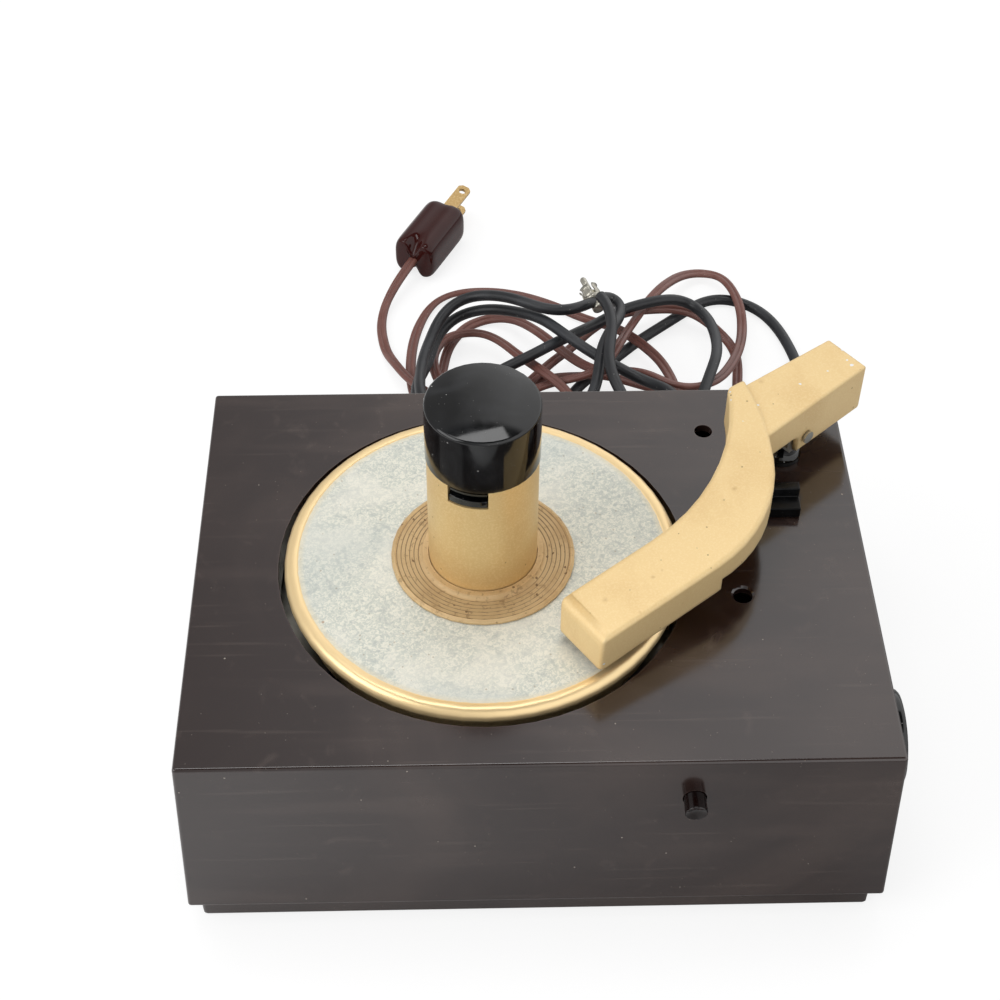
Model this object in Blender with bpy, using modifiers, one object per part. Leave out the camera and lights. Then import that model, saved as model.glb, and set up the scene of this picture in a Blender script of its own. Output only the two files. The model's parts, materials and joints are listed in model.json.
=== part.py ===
"""A table-top automatic record changer for large-hole records.

The frame's origin is the middle of the base's underside. Seen from the front, +X is to the right,
+Y to the back and +Z up.
"""

import math

import bmesh
import bpy
import numpy as np
from mathutils import Vector

# Case, in metres; its walls lean outwards towards the bottom
CASE_WIDTH = 0.2327
CASE_DEPTH = 0.1709
CASE_TOP = 0.08625
CASE_FOOT = 0.012
SIDE_DRAFT = math.radians(2.31)
FRONT_DRAFT = math.radians(3.18)
CASE_WALL = 0.0028
CASE_ROOF = 0.0030
CASE_ROUNDING = 0.0012
WELL_RADIUS = 0.07076
WELL_LIP_WALL = 0.0025
WELL_LIP_DEPTH = 0.0120
ACCESS_HOLE_PLACE = (0.0655, 0.0626)
ACCESS_HOLE_RADIUS = 0.0033
ADJUST_HOLE_PLACE = (0.0714, -0.0164)
ADJUST_HOLE_RADIUS = 0.0033
ADJUST_HOLE_RIM = 0.0007

# Base, posts, screws and chassis
BASE_INSET = 0.0037
BASE_WALL = 0.0025
BASE_FLOOR = 0.0025
BASE_ROUNDING = 0.0015
SCREW_INSET_X = 0.00885
SCREW_INSET_Y = 0.00895
BOSS_RADIUS = 0.0050
BOSS_RISE = 0.0020
SCREW_HEAD_RADIUS = 0.0034
SCREW_HEAD_HEIGHT = 0.0022
SCREW_SHANK_RADIUS = 0.0013
SCREW_LENGTH = 0.0190
SCREW_RECESS = 0.0026
VENT_WIDTH = 0.0030
VENT_LENGTH = 0.0280
VENT_STEP = 0.0090
VENT_COUNT = 6
PLATE_INSET_X = 0.01835
PLATE_INSET_Y = 0.01545
PLATE_THICKNESS = 0.0016
PLATE_TOP = 0.0610
PLATE_CORNER = 0.0080
POST_INSET_X = 0.02835
POST_INSET_Y = 0.02545
POST_RADIUS = 0.0035

# Turntable, measured up or down from the case's top
AXIS_X = -0.0170
AXIS_Y = 0.0005
DECK_RISE = 0.0032
DECK_THICKNESS = 0.0016
DECK_RADIUS = 0.0641
DECK_BORE = 0.0100
RIM_CENTRE = 0.0654
RIM_RADIUS = 0.00315
RIM_RISE = 0.00045
SKIRT_INNER = 0.0623
SKIRT_WALL = 0.0019
SKIRT_DROP = 0.0130
HUB_DISC_RADIUS = 0.0316
HUB_DISC_HEIGHT = 0.0014
HUB_DISC_BORE = 0.0120
HUB_RING_OUTER = 0.0212
HUB_RING_HEIGHT = 0.0023
LEDGE_HEIGHT = 0.0009
GROOVE_COUNT = 6
GROOVE_DEPTH = 0.0007
GROOVE_LEAD_SHARE = 0.75
HUB_BOSS_RADIUS = 0.0097
HUB_FLANGE_RADIUS = 0.0140
HUB_FLANGE_THICKNESS = 0.0026
HUB_BODY_RADIUS = 0.0085
HUB_NECK_RADIUS = 0.0060
HUB_TOP_RISE = 0.0085
SHAFT_RADIUS = 0.0040
SHAFT_TOP_RISE = 0.0200
SHAFT_FLANGE_RADIUS = 0.0120
SHAFT_FLANGE_THICKNESS = 0.0019

# Centre post and cap, measured from the case's top
POST_TUBE_RADIUS = 0.0186
POST_TUBE_WALL = 0.0016
CAP_RADIUS = 0.0190
CAP_FOOT_RISE = 0.05395
CAP_EDGE_RISE = 0.07615
CAP_DOME = 0.0022
CAP_EDGE_ROUNDING = 0.0010
CAP_WALL = 0.0017
SPIGOT_WALL = 0.0016
SPIGOT_TOP_RISE = 0.0600
NOTCH_DEPTH = 0.0076
NOTCH_WIDTH = 0.0136
NOTCH_ANGLE = math.radians(-107)
PLATFORM_THICKNESS = 0.0020
SHELF_HEIGHT = 0.0030
SHELF_WIDTH = 0.0130
SHELF_INNER = 0.0033
SHELF_SETBACK = 0.0003
DIVIDER_THICKNESS = 0.0014
BLADE_THICKNESS = 0.0008
BLADE_WIDTH = 0.0124
BLADE_SETBACK = 0.0007
CAM_LONG = 0.0061
CAM_SHORT = 0.0030
CAM_SLEEVE_RADIUS = 0.0026
CAM_ROD_RADIUS = 0.0013
CAM_SLEEVE_GAP = 0.0025

# Gears and friction drive
GEAR_MODULE = 0.0010
PINION_TEETH = 18
CYCLE_TEETH = 72
CYCLE_MISSING = 3
CYCLE_ANGLE = math.radians(20)
PRESSURE_ANGLE = math.radians(20)
TOOTH_TOP_SHARE = 0.90
TOOTH_ROOT_SHARE = 1.15
TOOTH_BACKLASH = 0.00030
GEAR_FOOT_RISE = 0.0030
GEAR_THICKNESS = 0.0030
CYCLE_STUD_RADIUS = 0.0030
CAM_TRACK_RADIUS = 0.0190
CAM_TRACK_OFFSET = 0.0060
CAM_TRACK_WALL = 0.0020
CAM_TRACK_HEIGHT = 0.0024
IDLER_RADIUS = 0.0180
IDLER_TYRE_WALL = 0.0027
IDLER_THICKNESS = 0.0050
IDLER_FOOT_RISE = 0.0140
IDLER_ANGLE = math.radians(200)
IDLER_AXLE_RADIUS = 0.0015
IDLER_ARM_RISE = 0.0070
IDLER_ARM_WIDTH = 0.0090
IDLER_ARM_THICKNESS = 0.0015
IDLER_ARM_REACH = (-0.0200, -0.0220)
PULLEY_RADIUS = 0.0025
PULLEY_HEIGHT = 0.0080
MOTOR_ANGLE = math.radians(-75)

# Motor, under the chassis plate
STACK_TOP = 0.0520
STACK_HEIGHT = 0.0160
STACK_WIDTH = 0.0360
STACK_BACK = 0.0170
STACK_FRONT = 0.0400
STACK_LEG = 0.0090
WINDOW_LENGTH = 0.0150
BORE_RADIUS = 0.0100
ROTOR_RADIUS = 0.0096
ROTOR_SHAFT_RADIUS = 0.0016
COIL_WALL = 0.0053
COIL_END_SHARE = 0.9
COIL_CORNER_SHARE = 0.8
BRACKET_WIDTH = 0.0120
BRACKET_THICKNESS = 0.0015
BRACKET_RISE = 0.0045
BRACKET_FOOT_SHARE = 0.28
MOTOR_STUD_RADIUS = 0.0022
IDLER_PIN_SHARE = 0.6

# Tonearm; heights are above the case's top
PIVOT_INSET = 0.02355
PIVOT_X = CASE_WIDTH / 2 - PIVOT_INSET
PIVOT_Y = 0.0504
ARM_HEADING = math.radians(35.4)
HEAD_LINES_OFFSET = 0.0928
ARM_FRONT = -0.0150
ARM_INNER_LINE = -0.0337
ARM_OUTER_LINE = -0.0558
INNER_ARC_START = 0.0229
INNER_ARC_RADIUS = 0.0763
INNER_ARC_SWEEP = math.radians(57.0)
OUTER_ARC_START = 0.0342
OUTER_ARC_RADIUS = 0.0540
OUTER_ARC_SWEEP = math.radians(54.6)
TAIL_ARC_RADIUS = 0.1058
TAIL_ARC_SWEEP = math.radians(20.2)
ARM_TOP_AT_PIVOT = 0.0346
ARM_TOP_SLOPE = 0.098
ARM_DIRECTION = (-0.5408, -0.8412)
ARM_WALL = 0.0018
ARM_EDGE = 0.0015
ARM_NOSE = 0.0040
HEAD_BOTTOM = 0.0073
HEAD_STEP = 0.0363
BEAM_BOTTOM = 0.0175
BOX_OFFSETS = ((-0.0158, -0.0261), (0.0289, 0.0127), (0.0175, 0.0274), (-0.0198, 0.0009))
BOX_CORNERS = tuple((PIVOT_X + x, PIVOT_Y + y) for x, y in BOX_OFFSETS)
BOX_TOP = 0.0313
BOX_BOTTOM = 0.0112
BOX_NOTCH_LENGTH = 0.0150
BOX_NOTCH_HEIGHT = 0.0080
LIFT_HEIGHT = 0.0164
LIFT_AXIS = (0.6549, -0.7557, 0.0)
LIFT_PIN_RADIUS = 0.0015
LIFT_PIN_NEAR = 0.0100
LIFT_PIN_FAR = 0.0112
LIFT_HEAD_RADIUS = 0.0024
LIFT_HEAD_HEIGHT = 0.0008
YOKE_HALF = 0.0070
YOKE_LENGTH = 0.0100
YOKE_STEEL = 0.0012
YOKE_FOOT = 0.0092
YOKE_TOP = 0.0195
PIVOT_FLANGE_RADIUS = 0.0070
PIVOT_FLANGE_HEIGHT = 0.0025
PIVOT_FLANGE_STEP_SHARE = 0.7
PIVOT_POST_RADIUS = 0.0045
PIVOT_POST_TOP = 0.0085
PIVOT_SHAFT_RADIUS = 0.0025
PIVOT_SHAFT_FOOT = -0.0170
CRANK_CLEARANCE = 0.0049
CRANK_RADIUS = 0.0052
CRANK_END_RADIUS = 0.0030
CRANK_THICKNESS = 0.0025
CRANK_PLACE = -0.0160
CARTRIDGE_SIZE = (0.0200, 0.0130, 0.0085)
CARTRIDGE_FOOT = 0.0088
CARTRIDGE_SETBACK = 0.0040
CARTRIDGE_NECK = 0.0100
STYLUS_RADIUS = 0.0013
STYLUS_DROP = 0.0042
STYLUS_CONE_SHARE = 0.8
STYLUS_SETBACK = 0.0060

# Arm rest on the case's top
REST_OFFSET_LEFT = 0.0168
REST_OFFSET_RIGHT = 0.0027
REST_LEFT = PIVOT_X - REST_OFFSET_LEFT
REST_RIGHT = PIVOT_X + REST_OFFSET_RIGHT
REST_FRONT = 0.0186
REST_STEP = 0.0246
REST_BACK = 0.0282
REST_LOW = 0.0044
REST_HIGH = 0.0083
REST_CORNER = 0.0022

# Reject button, its spring and the trip lever
BUTTON_X = 0.0498
BUTTON_DROP = 0.0182
BUTTON_RADIUS = 0.0037
BUTTON_PROTRUSION = 0.0060
BUTTON_DISH = 0.0010
BUTTON_DISH_SHARES = (0.5, 0.75)
BUTTON_RIM_SHARE = 0.9
BUTTON_COLLAR_RADIUS = 0.0050
BUTTON_COLLAR = 0.0013
BUTTON_STEM_RADIUS = 0.0018
BUTTON_STEM_INSET = 0.02545
BUTTON_STEM_END = BUTTON_STEM_INSET - CASE_DEPTH / 2
BRACKET_INSET = 0.01945
BRACKET_PLACE = BRACKET_INSET - CASE_DEPTH / 2
SPRING_WIRE = 0.0003
SPRING_RADIUS = 0.0030
SPRING_TURNS = 7
TRIP_PIVOT_INSET = 0.02845
TRIP_TOUCH_INSET = 0.02695
TRIP_FAR_INSET = 0.05645
TRIP_PIVOT = (0.0620, TRIP_PIVOT_INSET - CASE_DEPTH / 2)
TRIP_TOUCH = (BUTTON_X, TRIP_TOUCH_INSET - CASE_DEPTH / 2)
TRIP_FAR = (0.0580, TRIP_FAR_INSET - CASE_DEPTH / 2)
TRIP_TIP_SHARE = 0.6
TRIP_HUB_SHARE = 1.6
TRIP_CORNER_SHARE = 0.8
TRIP_THICKNESS = 0.0015
TRIP_STEM_RADIUS = 0.0020

# Power knob and switch on the right-hand wall
KNOB_INSET = 0.03875
KNOB_Y = KNOB_INSET - CASE_DEPTH / 2
KNOB_Z = 0.0443
KNOB_RADIUS = 0.0167
KNOB_PROTRUSION = 0.0085
KNOB_ROUNDING = 0.0018
KNOB_SHAFT_RADIUS = 0.0030
SWITCH_SIZE = 0.0220
SWITCH_LENGTH = 0.0130
SWITCH_BUSH_RADIUS = 0.0045

# Terminal strip under the chassis
STRIP_SIZE = (0.0340, 0.0120, 0.0016)

# Cords, plug and connector
MAINS_EXIT_INSET = 0.04635
AUDIO_EXIT_INSET = 0.01835
MAINS_EXIT_X = CASE_WIDTH / 2 - MAINS_EXIT_INSET
AUDIO_EXIT_X = CASE_WIDTH / 2 - AUDIO_EXIT_INSET
EXIT_HEIGHT = 0.0220
RELIEF_LENGTH = 0.0240
RELIEF_ROOT_RADIUS = 0.0048
RELIEF_TIP_RADIUS = 0.0036
RELIEF_FLANGE_RADIUS = 0.0065
GROMMET_LENGTH = 0.0080
MAINS_RADIUS = 0.0019
AUDIO_RADIUS = 0.0024
CORD_GAP = 0.0008
FLOOR_GAP = 0.00025
LEAST_LIFT = 0.0000025
CORD_FALL_SHARE = 0.32
LAY_STEP = 0.0010
RISE_LENGTH = 0.0110
EASE_LENGTH = 0.0070
CREST_LENGTH = 0.0040
OWN_LENGTH = 0.0300
EXIT_RUN = 0.0080
EXIT_FALL = 0.0500
PLUG_RUN = 0.0060
PLUG_FALL = 0.0400
CHORD_SAG = 0.0004
CHORD_LIMIT = 0.0200
MAINS_SPLITS = (0.1000, 1.6200)
AUDIO_SPLITS = (0.3150,)
PLUG_LENGTH = 0.0350
PLUG_WIDTH = 0.0152
PLUG_HEIGHT = 0.0178
PLUG_ROLL = math.radians(12)
PLUG_CENTRE = 0.0103
PLUG_NOTCH_WIDTH = 0.0056
PLUG_NOTCH_DEPTH = 0.0050
PLUG_LOBE = 0.0042
PLUG_EDGE = 0.0030
BLADE_SPACING = 0.0127
BLADE_OUT = 0.0180
BLADE_ROOT = 0.0080
BLADE_PLATE = 0.0015
BLADE_HEIGHT = 0.00635
BLADE_HOLE = 0.0017
BLADE_HOLE_SETBACK = 0.0040
PHONO_PIN_RADIUS = 0.0016
PHONO_PIN_LENGTH = 0.0090
PHONO_SHELL_RADIUS = 0.0042
PHONO_SHELL_BORE = 0.0036
PHONO_SHELL_LENGTH = 0.0090
PHONO_COLLAR_RADIUS = 0.0030
PHONO_COLLAR_LENGTH = 0.0022

# The cords' routes behind the case, seen from above, from the exits to the far ends
MAINS_ROUTE = (
    (0.0695, 0.1270), (0.0660, 0.1360), (0.0570, 0.1430), (0.0400, 0.1470), (0.0150, 0.1490),
    (-0.0150, 0.1500), (-0.0370, 0.1550), (-0.0480, 0.1680), (-0.0490, 0.1830), (-0.0495, 0.1970),
    (-0.0485, 0.2100), (-0.0440, 0.2210), (-0.0360, 0.2310), (-0.0270, 0.2375), (-0.0150, 0.2410),
    (-0.0030, 0.2410), (0.0130, 0.2360), (0.0290, 0.2280), (0.0410, 0.2190), (0.0520, 0.2090),
    (0.0605, 0.1990), (0.0665, 0.1880), (0.0695, 0.1770), (0.0690, 0.1660), (0.0600, 0.1575),
    (0.0420, 0.1550), (0.0150, 0.1560), (-0.0120, 0.1565), (-0.0330, 0.1605), (-0.0435, 0.1720),
    (-0.0445, 0.1860), (-0.0440, 0.2000), (-0.0400, 0.2130), (-0.0330, 0.2235), (-0.0240, 0.2310),
    (-0.0120, 0.2350), (0.0000, 0.2345), (0.0140, 0.2290), (0.0250, 0.2195), (0.0335, 0.2100),
    (0.0395, 0.2050), (0.0465, 0.2035), (0.0535, 0.2060), (0.0590, 0.2125), (0.0660, 0.2245),
    (0.0750, 0.2400), (0.0870, 0.2495), (0.0985, 0.2455), (0.1055, 0.2300), (0.1045, 0.2110),
    (0.1005, 0.1930), (0.0935, 0.1800), (0.0840, 0.1680), (0.0680, 0.1600), (0.0450, 0.1615),
    (0.0150, 0.1625), (-0.0120, 0.1630), (-0.0310, 0.1670), (-0.0395, 0.1780), (-0.0395, 0.1920),
    (-0.0360, 0.2040), (-0.0280, 0.2130), (-0.0160, 0.2180), (-0.0030, 0.2175), (0.0090, 0.2110),
    (0.0210, 0.1990), (0.0320, 0.1880), (0.0420, 0.1835), (0.0530, 0.1835), (0.0625, 0.1805),
    (0.0685, 0.1730), (0.0680, 0.1635), (0.0610, 0.1570), (0.0490, 0.1555), (0.0320, 0.1610),
    (0.0100, 0.1690), (-0.0150, 0.1695), (-0.0290, 0.1740), (-0.0355, 0.1840), (-0.0325, 0.1970),
    (-0.0230, 0.2055), (-0.0110, 0.2050), (-0.0020, 0.1980), (0.0050, 0.1885), (0.0125, 0.1790),
    (0.0220, 0.1730), (0.0325, 0.1745), (0.0410, 0.1830), (0.0490, 0.1960), (0.0580, 0.2120),
    (0.0670, 0.2220), (0.0790, 0.2245), (0.0895, 0.2170), (0.0965, 0.2040), (0.0995, 0.1900),
    (0.0970, 0.1760), (0.0880, 0.1630), (0.0700, 0.1510), (0.0400, 0.1405), (0.0050, 0.1390),
    (-0.0220, 0.1450), (-0.0380, 0.1600), (-0.0460, 0.1780), (-0.0560, 0.1960), (-0.0615, 0.2160),
    (-0.0603, 0.2280), (-0.0550, 0.2395), (-0.0490, 0.2489), (-0.0436, 0.2592),
)
AUDIO_ROUTE = (
    (0.0990, 0.1130), (0.1030, 0.1240), (0.1090, 0.1370), (0.1160, 0.1520), (0.1225, 0.1700),
    (0.1250, 0.1880), (0.1230, 0.2020), (0.1185, 0.2130), (0.1110, 0.2220), (0.1015, 0.2278),
    (0.0910, 0.2280), (0.0820, 0.2220), (0.0730, 0.2135), (0.0620, 0.2030), (0.0500, 0.1910),
    (0.0380, 0.1790), (0.0260, 0.1640), (0.0160, 0.1480), (0.0060, 0.1340), (-0.0050, 0.1260),
    (-0.0180, 0.1225), (-0.0330, 0.1230), (-0.0430, 0.1310), (-0.0445, 0.1460), (-0.0380, 0.1630),
    (-0.0340, 0.1810), (-0.0345, 0.1980), (-0.0320, 0.2120), (-0.0255, 0.2235), (-0.0160, 0.2300),
    (-0.0040, 0.2310), (0.0080, 0.2270), (0.0210, 0.2190), (0.0320, 0.2090), (0.0420, 0.1970),
    (0.0530, 0.1840), (0.0610, 0.1700), (0.0600, 0.1550), (0.0500, 0.1410), (0.0350, 0.1310),
    (0.0150, 0.1265), (-0.0100, 0.1165), (-0.0320, 0.1150), (-0.0470, 0.1220), (-0.0510, 0.1380),
    (-0.0445, 0.1600), (-0.0400, 0.1800), (-0.0360, 0.2030), (-0.0285, 0.2155), (-0.0175, 0.2230),
    (-0.0050, 0.2235), (0.0080, 0.2170), (0.0185, 0.2085), (0.0290, 0.1980), (0.0400, 0.1885),
    (0.0530, 0.1790), (0.0660, 0.1660), (0.0740, 0.1500), (0.0710, 0.1350), (0.0600, 0.1280),
    (0.0500, 0.1350), (0.0460, 0.1500), (0.0455, 0.1700), (0.0455, 0.1900), (0.0455, 0.2060),
    (0.0475, 0.2180), (0.0560, 0.2260), (0.0660, 0.2295), (0.0770, 0.2295), (0.0875, 0.2235),
    (0.0930, 0.2130), (0.0940, 0.2010), (0.0910, 0.1880), (0.0840, 0.1740), (0.0730, 0.1580),
    (0.0590, 0.1420), (0.0495, 0.1310), (0.0380, 0.1280), (0.0300, 0.1355), (0.0310, 0.1490),
    (0.0355, 0.1630), (0.0383, 0.1720), (0.0404, 0.1800), (0.0403, 0.1880), (0.0376, 0.1955),
)

# Clearances
SEAT_GAP = 0.0003
RUNNING_GAP = 0.00007
HOLE_GAP = 0.0003
OVERRUN = 0.0100
WELD_DISTANCE = 0.00001
ROUND_STEPS = 24
WIDE_STEPS = 56


def collection(name):
    made = bpy.data.collections.new(name)
    bpy.context.scene.collection.children.link(made)
    return made


def clear_scene():
    for thing in list(bpy.data.objects):
        bpy.data.objects.remove(thing, do_unlink=True)


clear_scene()
PARTS = collection("record_changer")
CUTTERS = collection("cutters")


def material(name, colour, roughness, metallic=0.0):
    made = bpy.data.materials.new(name)
    made.use_nodes = True
    shader = made.node_tree.nodes["Principled BSDF"]
    shader.inputs["Base Color"].default_value = (*colour, 1.0)
    shader.inputs["Roughness"].default_value = roughness
    shader.inputs["Metallic"].default_value = metallic
    return made


CASE_BROWN = material("case_brown", (0.032, 0.020, 0.018), 0.15)
SATIN_GOLD = material("satin_gold", (0.62, 0.45, 0.22), 0.38, 0.8)
WORN_ZINC = material("worn_zinc", (0.50, 0.50, 0.46), 0.55, 0.6)
GLOSS_BLACK = material("gloss_black", (0.008, 0.008, 0.009), 0.10)
PLAIN_STEEL = material("plain_steel", (0.45, 0.45, 0.44), 0.35, 1.0)
PLAIN_BRASS = material("plain_brass", (0.66, 0.50, 0.22), 0.30, 1.0)
COPPER_COIL = material("copper_coil", (0.42, 0.16, 0.06), 0.45, 0.6)
RUBBER = material("rubber", (0.02, 0.02, 0.02), 0.70)
CORD_BROWN = material("cord_brown", (0.15, 0.065, 0.05), 0.45)
CORD_BLACK = material("cord_black", (0.02, 0.022, 0.024), 0.50)
PLUG_BROWN = material("plug_brown", (0.045, 0.018, 0.014), 0.15)
PAPER_BOARD = material("paper_board", (0.25, 0.13, 0.06), 0.60)


def add(name, mesh, look, parent=None, place=(0, 0, 0), turn=(0, 0, 0)):
    """An object in the parts collection, with its own material, placed relative to its parent."""
    made = bpy.data.objects.new(name, mesh)
    PARTS.objects.link(made)
    made.data.materials.clear()
    made.data.materials.append(look)
    made.parent = parent
    made.location = place
    made.rotation_euler = turn
    return made


def as_cutter(thing):
    PARTS.objects.unlink(thing)
    CUTTERS.objects.link(thing)
    thing.hide_render = True
    thing.display_type = "WIRE"
    return thing


def axis_empty(name, place, parent=None):
    made = bpy.data.objects.new(name, None)
    PARTS.objects.link(made)
    made.parent = parent
    made.location = place
    return made


def from_bmesh(name, bm):
    mesh = bpy.data.meshes.new(name)
    bm.to_mesh(mesh)
    bm.free()
    return mesh


def box(name, size, look, **where):
    bm = bmesh.new()
    bmesh.ops.create_cube(bm, size=1.0)
    bmesh.ops.scale(bm, vec=size, verts=bm.verts)
    return add(name, from_bmesh(name, bm), look, **where)


def rod(name, radius, length, look, steps=ROUND_STEPS, **where):
    """A cylinder whose foot is at its origin, along its own +Z."""
    bm = bmesh.new()
    bmesh.ops.create_cone(bm, cap_ends=True, segments=steps, radius1=radius, radius2=radius, depth=length)
    bmesh.ops.translate(bm, vec=(0, 0, length / 2), verts=bm.verts)
    made = add(name, from_bmesh(name, bm), look, **where)
    smooth(made)
    return made


def smooth(thing):
    thing.data.shade_smooth()
    thing.data.set_sharp_from_angle(angle=math.radians(35))


def turned(name, profile, look, steps=ROUND_STEPS, closed=True, **where):
    """A body of revolution: the profile's (radius, height) points run down the outer side."""
    mesh = bpy.data.meshes.new(name)
    points = [(radius, 0, height) for radius, height in profile]
    edges = [(i, i + 1) for i in range(len(points) - 1)]
    if closed:
        edges.append((len(points) - 1, 0))
    mesh.from_pydata(points, edges, [])
    made = add(name, mesh, look, **where)
    screw = made.modifiers.new("turn", "SCREW")
    screw.steps = steps
    screw.render_steps = steps
    screw.use_merge_vertices = True
    screw.merge_threshold = WELD_DISTANCE
    screw.use_smooth_shade = True
    return made


def ring(name, outer, inner, foot, top, look, steps=ROUND_STEPS, **where):
    return turned(name, [(outer, top), (outer, foot), (inner, foot), (inner, top)], look, steps, **where)


def plate(name, outlines, thickness, look, **where):
    """A flat plate whose foot is at its origin: the first outline is its edge and the rest are holes."""
    curve = bpy.data.curves.new(name, "CURVE")
    curve.dimensions = "2D"
    curve.fill_mode = "BOTH"
    curve.extrude = thickness / 2
    for outline in outlines:
        spline = curve.splines.new("POLY")
        spline.points.add(len(outline) - 1)
        for point, (x, y) in zip(spline.points, outline):
            point.co = (x, y, 0, 1)
        spline.use_cyclic_u = True
    guide = bpy.data.objects.new(name + "_curve", curve)
    bpy.context.scene.collection.objects.link(guide)
    mesh = bpy.data.meshes.new_from_object(guide.evaluated_get(bpy.context.evaluated_depsgraph_get()))
    bpy.data.objects.remove(guide)
    bm = bmesh.new()
    bm.from_mesh(mesh)
    bmesh.ops.remove_doubles(bm, verts=bm.verts, dist=WELD_DISTANCE / 10)
    bmesh.ops.recalc_face_normals(bm, faces=bm.faces)
    bmesh.ops.translate(bm, vec=(0, 0, thickness / 2), verts=bm.verts)
    bm.to_mesh(mesh)
    bm.free()
    mesh.name = name
    return add(name, mesh, look, **where)


def arc(centre, radius, start, end, count):
    """Points from the start angle to the end angle, both included."""
    angles = [start + (end - start) * i / (count - 1) for i in range(count)]
    return [(centre[0] + radius * math.cos(a), centre[1] + radius * math.sin(a)) for a in angles]


def circle(centre, radius, count=24):
    return arc(centre, radius, 0, math.tau, count + 1)[:-1]


def rounded_rectangle(width, depth, corner, centre=(0, 0), count=4):
    x, y = width / 2 - corner, depth / 2 - corner
    points = []
    for k, (sx, sy) in enumerate(((1, 1), (-1, 1), (-1, -1), (1, -1))):
        middle = (centre[0] + sx * x, centre[1] + sy * y)
        points += arc(middle, corner, k * math.pi / 2, (k + 1) * math.pi / 2, count)
    return points


def boolean(thing, other, operation):
    step = thing.modifiers.new(other.name, "BOOLEAN")
    step.operation = operation
    step.object = as_cutter(other)


def cut(thing, *others):
    for other in others:
        boolean(thing, other, "DIFFERENCE")


def join(thing, *others):
    for other in others:
        boolean(thing, other, "UNION")


def bevel(thing, width, segments=2, angle=30):
    step = thing.modifiers.new("rounding", "BEVEL")
    step.width = width
    step.segments = segments
    step.limit_method = "ANGLE"
    step.angle_limit = math.radians(angle)
    return step


def half_case(z):
    """Half the case's width and depth at a height above the floor."""
    drop = CASE_TOP - z
    return (
        CASE_WIDTH / 2 + drop * math.tan(SIDE_DRAFT),
        CASE_DEPTH / 2 + drop * math.tan(FRONT_DRAFT),
    )


def tapered_box(name, foot, top, inset, look, extent=half_case):
    """A box between two heights, set in from the case's outside."""
    bm = bmesh.new()
    bmesh.ops.create_cube(bm, size=2.0)
    for v in bm.verts:
        z = top if v.co.z > 0 else foot
        half_x, half_y = extent(z)
        v.co = Vector((v.co.x * (half_x - inset), v.co.y * (half_y - inset), z))
    return add(name, from_bmesh(name, bm), look)


def screw_places():
    for sx, sy in ((-1, -1), (1, -1), (1, 1), (-1, 1)):
        yield sx * (CASE_WIDTH / 2 - SCREW_INSET_X), sy * (CASE_DEPTH / 2 - SCREW_INSET_Y)


def knob_turn():
    """Turns +Z to the outward normal of the right-hand wall."""
    return (0, math.pi / 2 - SIDE_DRAFT, 0)


def knob_face():
    """The place on the right-hand wall's outside where the knob's axis meets it."""
    return Vector((half_case(KNOB_Z)[0], KNOB_Y, KNOB_Z))


def knob_place(out):
    normal = Vector((math.cos(SIDE_DRAFT), 0, math.sin(SIDE_DRAFT)))
    return knob_face() + normal * out


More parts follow.
